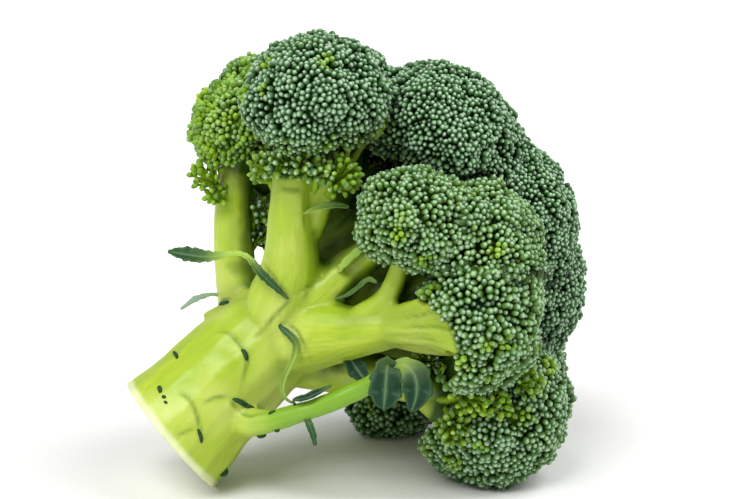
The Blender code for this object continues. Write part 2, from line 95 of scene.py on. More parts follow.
# The limbs of the stalk: points along each, x, y, z and the radius there
LIMBS = (
    ((-73, -23, 8.5, 24), (-62, -20, 17.7, 23.6), (-52, -18, 28.5, 20.8),
     (-40, -14, 40, 19.5), (-28, -9, 50, 18.8), (-14, -2, 60, 15)),
    ((-22, -7, 54, 17), (-8, 2, 66, 14), (4, 6, 78, 12.5), (18, 4, 92, 11), (28, -2, 106, 8)),
    ((4, 6, 76, 11), (20, 8, 84, 10), (36, 7, 88, 8)),
    ((0, 4, 68, 10), (22, 8, 64, 9), (46, 11, 58, 7.5)),
    ((-36, -6, 50, 10), (-40.5, 2, 61, 8.4), (-42.5, 5, 77, 7), (-42.5, 7, 92, 6.8), (-41, 10, 106, 5.5)),
    ((-42, 8, 90, 4.5), (-37, 20, 104, 4.5), (-31, 31, 114, 4)),
    ((-30, -12, 47, 13), (-25, -17, 62, 12.5), (-21, -20, 77, 10.2),
     (-20.6, -22, 93, 8.2), (-20.6, -23, 108, 7.4)),
    ((-20, -20, 80, 6), (-13.5, -21, 92, 6), (-10, -23, 107, 5.6)),
    ((-26, -12, 53, 9), (-13, -17, 65, 8.4), (-3, -16, 73, 7.5), (6, -22, 82, 6), (14, -32, 90, 4.5)),
    ((-26, -17, 55, 7), (-15, -20.5, 62.6, 8), (-7.2, -19.6, 69.4, 6.8), (-3, -19.6, 73.8, 6.2)),
    ((-27, -12, 48, 13.5), (-14, -22, 53, 12), (-1, -30, 56, 9.2),
     (12, -35.5, 59, 7.2), (21, -40.5, 61, 5.7), (31, -43, 60.5, 4.6)),
    ((-2, -31, 57, 7), (8, -34, 64, 5.6), (13, -34, 73, 3.8), (15, -37, 84, 3.2)),
    ((14, -34, 58, 6), (25, -36, 66, 4.5), (36, -38, 72, 4)),
    ((14, -35, 57, 5.5), (26, -39, 53, 4.2), (35, -41, 54, 3.6)),
    ((2, -26, 58, 7), (24, -27, 72, 6), (42, -28, 82, 5)),
    ((-24, -8, 42, 11), (-8, -6, 37, 9), (8, -7, 35, 7.6), (22, -11, 32, 6.6), (36, -15, 29, 5)),
    ((20, -11, 32, 5), (28, -17, 24, 4), (35, -20, 18, 3.4)),
    ((-22, -3, 44, 10.5), (-6, 10, 35, 9), (6, 22, 27, 7.5), (13, 31, 22, 6)),
    ((-8, 5, 48, 10), (14, 18, 42, 8.5), (34, 31, 37, 6.5)),
    ((-14, 2, 60, 11), (-10, 12, 80, 8.5), (-5, 24, 102, 7), (-2, 30, 116, 6)),
    ((-2, 6, 70, 10), (14, 20, 82, 9), (27, 33, 95, 7)),
    ((-4, 6, 60, 10.5), (18, 24, 64, 9), (36, 38, 67, 7)),
    ((-26, -4, 50, 11), (-23, 14, 60, 7.5), (-25, 30, 72, 6), (-30, 42, 84, 5)),
    ((-12, 4, 56, 11), (-8, 24, 68, 8.5), (-3, 42, 80, 7.5), (-1, 52, 87, 6)),
    ((-16, 2, 50, 11), (-6, 26, 52, 8.5), (6, 46, 54, 7.5), (11, 56, 55, 6)),
    ((-42, -24, 25, 7), (-33, -36, 26, 4.8), (-22.5, -40.5, 29.7, 3.8),
     (-9.5, -42.5, 34.9, 3.8), (4, -44.5, 41.6, 3.5), (8.5, -45.6, 45.5, 2.8), (11.6, -46, 49.2, 2.0)),
    ((-44, -8, 50, 5.5), (-49, -7, 58.5, 4.2)),
    ((-40, 4, 40, 8), (-50, 14, 44, 4.6)),
)
# Strands that part from the end of the front limb and run to the rim of its open head
STRANDS = (
    ((10, -36, 62, 3.8), (17.1, -43, 67, 2.7), (20.6, -48, 70.8, 1.9)),
    ((11, -37, 62, 3.8), (19.2, -44.3, 66.2, 2.6), (25, -50.5, 70.2, 1.8)),
    ((11, -38, 62, 3.8), (21.2, -45.5, 65, 2.6), (29, -53, 68.3, 1.8)),
    ((12, -39, 61, 3.8), (22, -46.6, 63.6, 2.5), (31, -55.5, 65.2, 1.7)),
    ((12, -40, 60, 3.8), (22.4, -47.8, 61.6, 2.5), (33, -57.5, 61.8, 1.7)),
    ((12, -39.5, 58, 3.6), (22.6, -47.6, 59.6, 2.5), (33.8, -58.5, 58.8, 1.7)),
    ((11, -38.5, 56.6, 3.6), (22.2, -46.5, 58, 2.6), (28.7, -53, 58.3, 2.2), (35, -59, 55.6, 1.6)),
    ((14, -36, 57, 4), (22, -41, 57, 3.2), (30, -46, 54, 2)),
)
# Places where the buds are young and yellow-green, with their stalklets in sight: x, y, z, radius
YOUNG_SPOTS = (
    (8.7, -29.9, 122.5, 4.5), (37.3, -41.7, 105.1, 3.2), (21.8, -56.8, 84.3, 3.6),
    (22.5, -54.7, 77.4, 4.0), (28.8, -59.9, 61.6, 3.2), (13.0, -59.3, 95.0, 4.2),
    (-28.9, -30.2, 145.4, 3.6), (-37.0, -30.4, 134.2, 4.0), (-29.6, -37.3, 136.7, 2.6),
    (-9.6, -38.2, 146.4, 3.4), (44.0, -53.0, 88.5, 3.4), (48.6, -58.0, 58.9, 3.8),
    (64.5, -21.0, 43.0, 4.2), (36.0, -34.2, 33.0, 6.5), (42.7, -54.7, 44.8, 3.2),
    (54.5, -36.8, 29.0, 4.6), (31.8, -30.0, 10.5, 4.4), (40.5, -39.5, 18.5, 3.2),
    (34.5, -59.6, 52.7, 3.2), (59.4, -41.6, 52.9, 3.0), (19.0, -52.0, 76.0, 4.4),
    (27.5, -54.0, 67.5, 3.8), (31.5, -57.0, 61.0, 3.0), (41.0, -60.5, 59.5, 3.2),
)
# Small sprigs of buds that stand by themselves: where they leave the stalk, their middle,
# their radius, how many buds, and how yellow they are
SPRIGS = (
    ((-11.0, -24.0, 99.0), (-5.1, -34.0, 108.6), 6.6, 42, 0.75),
    ((-14.0, -24.0, 100.0), (-12.0, -35.5, 111.0), 5.0, 26, 0.45),
    ((28.0, -20.0, 30.0), (37.2, -38.0, 37.3), 7.0, 44, 0.95),
    ((30.0, -16.0, 27.0), (32.4, -36.0, 25.0), 6.0, 34, 0.55),
    ((38.0, -18.0, 32.0), (56.0, -33.0, 39.5), 5.6, 30, 0.65),
    ((32.0, -18.0, 27.0), (46.2, -36.0, 33.0), 5.0, 26, 0.9),
    ((-24.0, -17.0, 96.0), (-30.3, -14.0, 106.0), 4.6, 24, 0.55),
    ((-38.0, 9.0, 78.0), (-33.9, 8.0, 88.6), 4.6, 26, 0.2),
    ((-39.0, 8.0, 74.0), (-33.0, 9.0, 79.5), 3.6, 16, 0.1),
    ((-42.0, 7.0, 92.0), (-50.7, 2.0, 102.5), 5.4, 26, 1.0),
    ((-42.0, 6.0, 88.0), (-47.5, 1.0, 95.5), 3.8, 14, 0.9),
    ((-20.0, -22.0, 108.0), (-23.5, -35.0, 113.0), 4.8, 26, 0.25),
    ((-20.0, -22.0, 108.0), (-17.0, -36.0, 112.5), 4.6, 24, 0.35),
    ((-22.0, -22.0, 106.0), (-29.5, -31.0, 111.0), 4.4, 22, 0.5),
    ((22.0, -8.0, 36.0), (25.4, -15.0, 43.8), 5.4, 40, 0.1),
)
# What is left of leaves torn off the stalk, as dark slivers: a place near the surface, the way
# each runs, its length, its height and its width
STUBS = (
    ((-60.1, -23.9, 46.5), (2.8, -7.6, -1.4), 4.6, 1.5, 1.4),
    ((-36.9, -30.8, 48.4), (1.9, -1.3, -3.1), 4.4, 1.1, 1.6),
    ((-36.8, -35.2, 32.4), (6.7, -2.7, -4.5), 8.4, 1.2, 1.9),
    ((-51.1, -39.8, 23.4), (1.4, 0.1, -4.6), 5.2, 0.9, 1.3),
    ((-64.6, -33.0, 37.3), (1.0, -0.8, -2.0), 3.0, 0.9, 1.7),
    ((-63.1, -35.7, 35.6), (1.2, 0.0, -0.4), 1.6, 0.6, 1.2),
    ((-62.4, -36.8, 34.0), (1.0, 0.0, -0.8), 1.5, 0.5, 1.0),
    ((-44.2, -28.8, 7.4), (3.0, 1.2, 0.6), 3.6, 1.6, 1.4),
    ((-31.0, -36.5, 22.4), (3.0, 0.0, 1.0), 3.4, 1.1, 1.0),
    ((-25.7, -41.2, 25.5), (2.5, 0.0, 0.6), 2.0, 0.9, 0.9),
    ((-27.5, -40.5, 31.8), (2.5, 0.0, 0.6), 2.6, 0.7, 1.3),
    ((-45.0, -9.5, 61.0), (3.5, -3.0, -0.6), 5.6, 1.2, 1.7),
)
STUB_SECTION = ((-0.5, -1.0), (-0.42, 0.6), (0.0, 1.0), (0.42, 0.6), (0.5, -1.0))
# Fine folds in the skin of the stalk, where a limb or a leaf's base meets the next
FOLDS = (
    ((-20.5, -29, 68), (-23, -29, 65), (-27, -28, 60.5), (-31, -27.5, 55.5), (-34.5, -28.5, 52.5)),
    ((-20.5, -29, 68), (-16.5, -27.5, 70), (-12, -24, 72), (-8.5, -22, 74.5), (-5, -22.5, 78)),
    ((-31, -23, 78), (-29, -27, 76), (-26, -29, 73), (-20.5, -29, 68)),
    ((-25, -28, 58.5), (-22, -29, 58), (-19.5, -31, 56.5), (-17.5, -33, 53.5), (-14, -31, 45.5)),
    ((-46.5, -24, 55), (-41.5, -26.5, 54.5), (-37, -30, 50.5), (-35.5, -31.5, 46), (-38.5, -34, 35.5)),
    ((-58.5, -35.5, 37.5), (-54.5, -37, 35.5), (-52.5, -38.5, 32), (-51, -39.5, 26.5), (-50.5, -40, 21.5)),
    ((-59.5, -42, 23.5), (-55.5, -41, 25), (-52.5, -40, 26)),
    ((-41, -35, 35.5), (-46, -36.5, 35.5), (-50.5, -37.5, 33.5)),
    ((-41, -35.5, 35), (-40, -35, 32.5), (-38, -35, 30), (-34.5, -38, 29.5), (-29, -39.5, 31.5)),
    ((-24.5, -29, 104.5), (-23, -29.5, 103.5), (-19.5, -30, 103), (-17.5, -29.5, 104)),
    ((-17, -28.5, 106.5), (-17, -29, 95), (-16, -28.5, 88)),
    ((-17, -29, 95.5), (-13.5, -27.5, 97), (-11.5, -27.5, 98.5)),
)
# Creases between the strands of the front limb's end, laid onto the skin where they run
FAN_FOLDS = (
    ((11, -42, 63), (20.5, -46.5, 65.6), (26.5, -53, 69)),
    ((11, -43, 60.5), (22.3, -49, 62.6), (31.5, -57.5, 63.4)),
    ((11, -43, 57), (22.4, -49, 58.8), (31, -56.5, 58.5)),
)
# Low swellings of the stalk below old leaf bases: middle, radius and height
SWELLINGS = (
    ((-46, -32, 44), 10.0, 1.0),
    ((-59, -40, 30), 8.5, 0.7),
    ((-40, -38, 21), 9.0, 0.6),
    ((-27, -30, 48), 8.0, 0.6),
    ((-38, -26, 61), 9.0, 0.5),
)
FOLD_HALF_WIDTH = 0.7
LIP_WIDTH = 2.8
SKIN_VOXEL = 1.0
FAN_STRANDS = 9
# The limb that is the stalk of a cut leaf, greener than the rest
LEAF_STALK = 25
CUT_POINT = np.array([-62.4, -20.0, 17.7])
CUT_NORMAL = np.array([-0.765, -0.16, -0.625])
CUT_NORMAL /= np.linalg.norm(CUT_NORMAL)


def unit(rows):
    return rows / np.linalg.norm(rows, axis=-1, keepdims=True)


def even_directions(count):
    """Directions spread evenly over a sphere, from the top down."""
    steps = np.arange(count)
    height = 1.0 - 2.0 * (steps + 0.5) / count
    ring = np.sqrt(1.0 - height**2)
    turn = steps * GOLDEN_ANGLE
    return np.stack([ring * np.cos(turn), ring * np.sin(turn), height], axis=1)


def softened(rows, rounds):
    """The rows of a line, each drawn towards its neighbours a few times over; its ends stay."""
    for _ in range(rounds):
        rows[1:-1] = 0.25 * rows[:-2] + 0.5 * rows[1:-1] + 0.25 * rows[2:]
    return rows


def traced(knots, at):
    """The rows between the knots of a line, at the given steps along it."""
    columns = np.array(knots, float).T
    return np.stack([np.interp(at, np.arange(len(knots)), column) for column in columns], axis=1)


def in_turn(indices):
    """The indices in parts small enough to compare each part with every sample at once."""
    return [indices[start:start + PART_SIZE] for start in range(0, len(indices), PART_SIZE)]


def growing_frame(grows):
    """The turn that takes +Z to the way that something grows."""
    return np.array(Vector(grows).normalized().to_track_quat("Z", "Y").to_matrix())


def dome_reach(floret, local):
    """How far a head's plain dome reaches in each of its own directions."""
    axial = np.where(local[:, 2] > 0.0, floret.rise, floret.drop)
    across = np.hypot(local[:, 0], local[:, 1]) / floret.side
    return 1.0 / np.hypot(across, local[:, 2] / axial)


def sphere_reach(local, centre, radius):
    """How far a ball beside the middle reaches in each direction, 0 where it isn't met."""
    along = local @ centre
    inside = along**2 - (centre @ centre - radius**2)
    reach = along + np.sqrt(np.maximum(inside, 0.0))
    return np.where(inside > 0.0, reach, 0.0)


def lobed_reach(floret, local):
    """The dome and its lobes, run into one another."""
    total = np.exp(CORE_SHARE * dome_reach(floret, local) / LOBE_BLEND)
    for step in range(floret.lobes):
        height = 1.0 - (1.0 - LOBE_LOWEST) * (step + 0.5) / floret.lobes
        ring = math.sqrt(1.0 - height * height)
        turn = step * GOLDEN_ANGLE + floret.lobes
        way = np.array([[ring * math.cos(turn), ring * math.sin(turn), height]])
        radius = LOBE_SIZE * floret.side * (0.88 + 0.24 * ((step * 5) % 7) / 6.0)
        out = dome_reach(floret, way)[0] - radius
        total += np.exp(sphere_reach(local, way[0] * out, radius) / LOBE_BLEND)
    return LOBE_BLEND * np.log(total)


def neighbour_planes(floret):
    """The planes at which a head meets the others: the way to each and its distance."""
    centre = np.array(floret.centre)
    planes = []
    for other in FLORETS:
        if other is floret:
            continue
        apart = np.array(other.centre) - centre
        span = np.linalg.norm(apart)
        power = floret.side**2 - other.side**2
        planes.append((apart / span, (span**2 + power) / (2.0 * span) - PIECE_GAP))
    return planes


class Head:
    """The surface of one bud head, as a reach in every direction from its middle."""

    def __init__(self, floret):
        self.floret = floret
        self.centre = np.array(floret.centre, float)
        self.turn = growing_frame(floret.grows)
        self.planes = neighbour_planes(floret)
        self.mean = (floret.side * 2 + floret.rise) / 3
        self.near = [other for other in FLORETS if other is not floret and self.touches(other)]
        way, self.bare_angle = BARE.get(floret.name, ((0.0, 0.0, 1.0), 0.0))
        self.bare_way = unit(np.array(way))

    def touches(self, other):
        span = np.linalg.norm(np.array(other.centre) - self.centre)
        return span < self.floret.side + other.side + 12

    def free_and_stop(self, ways):
        free = lobed_reach(self.floret, ways @ self.turn)
        stop = np.full(len(ways), 1e6)
        for normal, distance in self.planes:
            towards = ways @ normal
            stop = np.minimum(stop, np.where(towards > 1e-6, distance / np.maximum(towards, 1e-6), 1e6))
        return free, stop

    def reach(self, ways):
        """Out to the surface or the neighbour's plane, with the crease between two filled."""
        low = np.minimum(*self.free_and_stop(ways))
        points = self.centre + ways * low[:, None]
        lift = np.zeros(len(ways))
        for other in self.near:
            apart = points - np.array(other.centre)
            span = np.linalg.norm(apart, axis=1)
            clear = span - dome_reach(other, apart / span[:, None] @ growing_frame(other.grows))
            soft = JOINED[other.mass == self.floret.mass]
            close = np.clip(1.0 - np.abs(clear) / soft, 0.0, 1.0)
            lift = np.maximum(lift, close**2 * soft / 4)
        return low + lift

    def bare(self, ways):
        """How far each direction lies in the head's open side, from 0 to 1."""
        if self.bare_angle == 0.0:
            return np.zeros(len(ways))
        apart = np.degrees(np.arccos(np.clip(ways @ self.bare_way, -1.0, 1.0)))
        return 1.0 - smoothstep(self.bare_angle - 7.0, self.bare_angle, apart)

    def height(self, ways):
        """1 along the way the head grows, -1 straight below."""
        return ways @ self.turn[:, 2]

    def points(self, ways):
        return self.centre + ways * self.reach(ways)[:, None]

    def normals(self, ways):
        helper = np.where(np.abs(ways[:, 2:3]) < 0.9, [[0.0, 0.0, 1.0]], [[1.0, 0.0, 0.0]])
        one = unit(np.cross(ways, helper))
        two = np.cross(ways, one)
        step = 0.02
        here = self.points(ways)
        east = self.points(unit(ways + one * step)) - here
        north = self.points(unit(ways + two * step)) - here
        normal = unit(np.cross(east, north))
        return normal * np.sign(np.sum(normal * ways, axis=1))[:, None]


def spread_points(head, spacing, lowest, rng):
    """Directions whose surface points are about evenly spaced, with a natural looseness."""
    count = int(4 * math.pi * head.mean**2 / spacing**2 * 10)
    ways = even_directions(count) @ head.turn.T
    ways = unit(ways + rng.normal(0.0, 0.02, ways.shape))
    free, stop = head.free_and_stop(ways)
    ways = ways[(head.height(ways) > lowest) & (free - stop < CREASE_DEPTH) & (head.bare(ways) < 0.3)]
    ways = ways[rng.permutation(len(ways))]
    ways = ways[thin_out(head.points(ways), spacing * 0.79)]
    for _ in range(8):
        points = head.points(ways)
        apart = points[:, None, :] - points[None, :, :]
        near = np.linalg.norm(apart, axis=2)
        np.fill_diagonal(near, 1e6)
        push = np.maximum(0.0, spacing * 1.0 - near) / near
        points = points + 0.35 * np.sum(apart * push[:, :, None], axis=1)
        ways = unit(points - head.centre)
    return ways


def thin_out(points, least):
    """Indices of points kept so that no two are nearer than the least distance."""
    cells = {}
    kept = []
    for index, (x, y, z) in enumerate(np.floor(points / least).astype(int).tolist()):
        around = product((x - 1, x, x + 1), (y - 1, y, y + 1), (z - 1, z, z + 1))
        near = [other for cell in around for other in cells.get(cell, ())]
        if all(np.sum((points[other] - points[index]) ** 2) >= least * least for other in near):
            kept.append(index)
            cells.setdefault((x, y, z), []).append(index)
    return np.array(kept)


def bud_pattern(sides):
    """(points, triangles, cap) of one bud of radius 1 along +Z, open below: cap is 1 at its tip."""
    rings = ((0.78, -0.80), (1.0, 0.05), (0.70, 0.78))
    points = [(0.0, 0.0, 1.12)]
    for number, (radius, height) in enumerate(rings):
        for side in range(sides):
            turn = 2 * math.pi * (side + 0.5 * (number % 2)) / sides
            points.append((radius * math.cos(turn), radius * math.sin(turn), height))
    faces = []
    for side in range(sides):
        after = (side + 1) % sides
        top, mid, low = 1 + 2 * sides, 1 + sides, 1
        faces.append((0, top + side, top + after))
        faces.append((top + side, mid + side, top + after))
        faces.append((mid + side, mid + after, top + after))
        faces.append((low + side, low + after, mid + side))
        faces.append((low + after, mid + after, mid + side))
    points = np.array(points)
    cap = np.clip((points[:, 2] + 0.8) / 1.92, 0.0, 1.0)
    return points, np.array(faces), cap


def across(axes):
    """Two unit directions across each axis."""
    helper = np.where(np.abs(axes[:, 2:3]) < 0.9, [[0.0, 0.0, 1.0]], [[1.0, 0.0, 0.0]])
    one = unit(np.cross(axes, helper))
    return one, np.cross(axes, one)


def stamp(pattern, centres, axes, radii, stretch, rng):
    """Copies of a pattern as one array of points, each a little uneven in its own way."""
    points, faces, _ = pattern
    count = len(centres)
    turns = rng.uniform(0.0, 2 * math.pi, count)
    one, two = across(axes)
    cos, sin = np.cos(turns)[:, None], np.sin(turns)[:, None]
    wide = rng.uniform(0.86, 1.14, count)[:, None]
    first, second = (one * cos + two * sin) * wide, (two * cos - one * sin) / wide
    own = points[None] * (1.0 + rng.normal(0.0, 0.055, (count, len(points), 3)))
    placed = centres[:, None, :] + radii[:, None, None] * (
        own[..., 0:1] * first[:, None, :]
        + own[..., 1:2] * second[:, None, :]
        + own[..., 2:3] * axes[:, None, :] * stretch[:, None, None]
    )
    shifted = faces[None] + np.arange(count)[:, None, None] * len(points)
    return placed.reshape(-1, 3), shifted.reshape(-1, 3)


def strip_faces(stations, sides, closed=True):
    """Triangles between rows of points, one row for each station along a tube or a sheet."""
    faces = []
    for station in range(stations - 1):
        for side in range(sides if closed else sides - 1):
            a = station * sides + side
            b = station * sides + (side + 1) % sides
            faces += [(a, b, b + sides), (a, b + sides, a + sides)]
    return faces


def tubes(starts, middles, ends, radius_start, radius_end, sides=4, steps=3):
    """Tapered curved tubes, open at both ends, as points and triangles."""
    at = np.linspace(0.0, 1.0, steps + 1)[None, :, None]
    line = (1 - at) ** 2 * starts[:, None] + 2 * at * (1 - at) * middles[:, None] + at**2 * ends[:, None]
    along = unit(np.gradient(line, axis=1))
    one, two = (way.reshape(along.shape)[:, :, None, :] for way in across(along.reshape(-1, 3)))
    radius = radius_start[:, None, None] * (1 - at) + radius_end[:, None, None] * at
    turn = 2 * math.pi * np.arange(sides)[None, None, :, None] / sides
    ring = one * np.cos(turn) + two * np.sin(turn)
    points = line[:, :, None, :] + ring * radius[:, :, None, :]
    shift = np.arange(len(starts))[:, None, None] * ((steps + 1) * sides)
    faces = np.array(strip_faces(steps + 1, sides))[None] + shift
    return points.reshape(-1, 3), faces.reshape(-1, 3)


def set_layer(mesh, name, values):
    """Keep values of the points on a mesh: four columns as a colour, a single one as a number."""
    kind, key = ("FLOAT_COLOR", "color") if values.ndim == 2 else ("FLOAT", "value")
    layer = mesh.attributes.new(name, kind, "POINT")
    layer.data.foreach_set(key, values.astype(np.float32).ravel())


def build_mesh(name, points, faces, colours, attribute="look"):
    """A smooth mesh in metres, moved to the part's origin, with one colour for each point."""
    mesh = bpy.data.meshes.new(name)
    placed = (points + SHIFT) * MM
    placed[:, 2] = np.maximum(placed[:, 2], 0.0)
    mesh.vertices.add(len(placed))
    mesh.vertices.foreach_set("co", placed.astype(np.float32).ravel())
    mesh.loops.add(len(faces) * 3)
    mesh.loops.foreach_set("vertex_index", faces.astype(np.int32).ravel())
    mesh.polygons.add(len(faces))
    mesh.polygons.foreach_set("loop_start", np.arange(0, len(faces) * 3, 3, dtype=np.int32))
    mesh.polygons.foreach_set("loop_total", np.full(len(faces), 3, dtype=np.int32))
    mesh.update(calc_edges=True)
    mesh.polygons.foreach_set("use_smooth", np.ones(len(faces), dtype=bool))
    set_layer(mesh, attribute, colours)
    mesh.update()
    return mesh


def loose_piece(name, mesh, finish):
    """A piece of the scene that stands for no node of its own."""
    obj = bpy.data.objects.new(name, mesh)
    obj.data.materials.append(finish)
    bpy.context.scene.collection.objects.link(obj)
    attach(obj, "root")
    return obj


def piece(name, mesh, finish, node):
    """A piece of the scene that stands in place of a node."""
    obj = loose_piece(name, mesh, finish)
    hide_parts(node)
    return obj


def smoothstep(low, high, value):
    """0 up to the low value and 1 from the high one on, with a soft rise between."""
    t = np.clip((value - low) / (high - low), 0.0, 1.0)
    return t * t * (3 - 2 * t)


def head_core(head, ball):
    """The body under the buds, a little inside their surface and drawn in below the rim."""
    ways, faces = ball
    bare = head.bare(ways)
    under = smoothstep(-0.34, -0.66, head.height(ways))
    reach = np.minimum(*head.free_and_stop(ways)) * (1 - 0.30 * under) * (1 - BARE_DEPTH * bare)
    points = head.centre + ways * (reach - CORE_DEPTH)[:, None]
    young = young_at(points)
    points -= ways * (0.6 + 1.8 * young)[:, None]
    look = np.zeros((len(points), 4))
    look[:, 0] = np.maximum.reduce([0.6 * under, 0.7 * young, 0.85 * bare])
    look[:, 0] = np.maximum(look[:, 0], 0.8 * head.floret.yellow - 0.15)
    look[:, 3] = 0.2
    return points, faces, look


def unit_ball(subdivisions):
    """Even directions over a sphere, with the triangles between them."""
    ball = bmesh.new()
    bmesh.ops.create_icosphere(ball, subdivisions=subdivisions, radius=1.0)
    ways = unit(np.array([v.co[:] for v in ball.verts]))
    faces = np.array([[v.index for v in f.verts] for f in ball.faces])
    ball.free()
    return ways, faces


def solid_tree():
    """All the solids of the frame as one search tree, in metres."""
    points, faces, start = [], [], 0
    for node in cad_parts.values():
        mesh = node.data
        points += [vertex.co.copy() for vertex in mesh.vertices]
        faces += [[start + index for index in polygon.vertices] for polygon in mesh.polygons]
        start = len(points)
    return BVHTree.FromPolygons(points, faces)


def openness(points, normals, tree, rays=20, lift=3.0, far=38.0):
    """How open the space in front of each point is, from 0 to 1; where it is little, the finishes paint
    shade.
    """
    spread = even_directions(rays * 2)
    open_share = np.zeros(len(points))
    placed = (points + SHIFT + normals * lift) * MM
    for index, (place, normal) in enumerate(zip(placed, normals)):
        facing = spread @ normal
        start = Vector(place)
        seen = weight = 0.0
        for way, towards in zip(spread, facing):
            if towards <= 0.1:
                continue
            weight += towards
            if tree.ray_cast(start, Vector(way), far * MM)[0] is None:
                seen += towards
        open_share[index] = seen / weight
    return open_share


def young_at(points):
    """How far each point lies in one of the young spots, 1 at its middle."""
    level = np.zeros(len(points))
    for x, y, z, radius in YOUNG_SPOTS:
        apart = np.linalg.norm(points - np.array([x, y, z]), axis=1)
        level = np.maximum(level, 1.0 - smoothstep(radius * 0.45, radius * 1.25, apart))
    return level


def stamp_buds(centres, axes, radii, stretch, young, chance, unshaded, rng):
    """Buds with their look: how young, how near the tip, a chance of their own, and how open each is, which
    sets their painted shade.
    """
    points, faces = stamp(BUD, centres, axes, radii, stretch, rng)
    per_bud = len(BUD[0])
    look = np.stack([
        np.repeat(young, per_bud),
        np.tile(BUD[2], len(centres)),
        np.repeat(chance, per_bud),
        np.repeat(unshaded, per_bud),
    ], axis=1)
    return points, faces, look


def stamp_stalklets(starts, ends, bends, thick, young):
    """The thin green stalks under loose buds, with their look."""
    points, faces = tubes(starts, (starts + ends) / 2 + bends, ends, thick * 1.3, thick)
    look = np.tile([0.0, 0.55, 0.5, 1.0], (len(points), 1))
    look[:, 0] = np.repeat(0.55 + 0.45 * young, len(points) // max(len(starts), 1))
    return points, faces, look


def join(parts):
    """Several sets of points, triangles and looks as one."""
    points, faces, looks, start = [], [], [], 0
    for part_points, part_faces, part_look in parts:
        points.append(part_points)
        faces.append(part_faces + start)
        looks.append(part_look)
        start += len(part_points)
    return np.concatenate(points), np.concatenate(faces), np.concatenate(looks)


def gather(points, spacing, width, rng):
    """Middles of groups of buds, each bud's group, its distance in it, and how near its edge it is."""
    mixed = points[rng.permutation(len(points))]
    middles = mixed[thin_out(mixed, spacing)]
    apart = np.linalg.norm(points[:, None] - middles[None], axis=2)
    order = np.argsort(apart, axis=1)[:, :2]
    first = np.take_along_axis(apart, order[:, :1], axis=1)[:, 0]
    second = np.take_along_axis(apart, order[:, 1:2], axis=1)[:, 0]
    return middles, order[:, 0], first, 1.0 - smoothstep(0.0, width, second - first)


def make_head(floret, seed, finishes, ball, tree):
    """One bud head: its core, its buds, and the stalklets that hold its loose buds."""
    rng = np.random.default_rng(seed)
    head = Head(floret)
    ways = spread_points(head, floret.bud, UNDERSIDE, rng)
    points = head.points(ways)
    normals = head.normals(ways)
    count = len(ways)
    clusters, owner, first, crease = gather(points, CLUSTER_SPACING, 2.6, rng)
    tufts, tuft, tuft_first, tuft_crease = gather(points, TUFT_SPACING, 1.3, rng)
    rim = smoothstep(0.0, -0.40, head.height(ways))
    cluster_lift = rng.uniform(-0.7, 0.6, len(clusters))
    tuft_lift = rng.uniform(-0.35, 0.35, len(tufts))
    cluster_chance = rng.uniform(0.0, 1.0, len(clusters))
    tuft_chance = rng.uniform(0.0, 1.0, len(tufts))
    drift = np.array([noise.noise(Vector(p) * 0.09 + Vector((seed, 0, 0))) for p in tufts])
    favour = floret.yellow + 0.35 * drift + 0.25 * (tuft_chance - 0.5)
    tuft_young = smoothstep(0.25, 0.80, favour) * rng.uniform(0.45, 1.0, len(tufts))
    spot = young_at(points)
    young = np.maximum(tuft_young[tuft], spot * rng.uniform(0.55, 1.0, count))
    young = np.maximum(young, rim * (0.30 + 0.5 * floret.yellow) * rng.uniform(0.2, 1.0, count))
    young = np.clip(young + 0.12 * rng.normal(0, 1, count) * (young > 0.1), 0.0, 1.0)
    young = np.maximum(young, FRESH.get(floret.mass, 0.0) * rng.uniform(0.6, 1.0, count))
    loose = np.clip(0.8 * spot + 0.6 * tuft_young[tuft] + 0.7 * rim, 0.0, 1.0)
    depth = cluster_lift[owner] + tuft_lift[tuft] - 0.018 * first**2 - 0.05 * tuft_first**2
    depth += 0.8 * loose * rng.uniform(-1.0, 1.0, count) - 1.1 * crease - 0.7 * tuft_crease
    depth += -0.4 * rng.uniform(0, 1, count) - 0.3
    size = rng.uniform(0.84, 1.12, count) * (1 - 0.10 * crease) * (1 - 0.14 * loose)
    radii = floret.bud * BUD_WIDTH * size
    lean = (points - tufts[tuft]) / TUFT_SPACING
    axes = unit(normals + 0.45 * lean + 0.14 * rng.normal(0, 1, normals.shape))
    centres = points + normals * (depth - 0.15 * radii)[:, None]
    stretch = rng.uniform(1.05, 1.45, count)
    # Painted shade: how open each bud is, less in the creases between its groups; little openness darkens
    # the bud
    unshaded = openness(points, normals, tree) * (1.0 - 0.45 * crease) * (1.0 - 0.25 * tuft_crease)
    chance = 0.35 * cluster_chance[owner] + 0.3 * tuft_chance[tuft] + 0.35 * rng.uniform(0, 1, count)
    buds = stamp_buds(centres, axes, radii, stretch, young, chance, unshaded, rng)
    held = loose > 0.3
    necks = tufts[tuft[held]] - normals[held] * NECK_DEPTH
    ends = centres[held] - axes[held] * radii[held, None] * 0.4
    thick = rng.uniform(0.30, 0.46, len(ends))
    stalklets = stamp_stalklets(necks, ends, -0.5 * normals[held], thick, young[held])
    mesh = build_mesh("buds_" + floret.name, *join([head_core(head, ball), buds, stalklets]))
    obj = piece("buds_" + floret.name, mesh, finishes[0], floret.name)
    obj.data.materials.append(finishes[1])
    is_core = np.arange(len(mesh.polygons)) < len(ball[1])
    mesh.polygons.foreach_set("material_index", is_core.astype(np.int32))


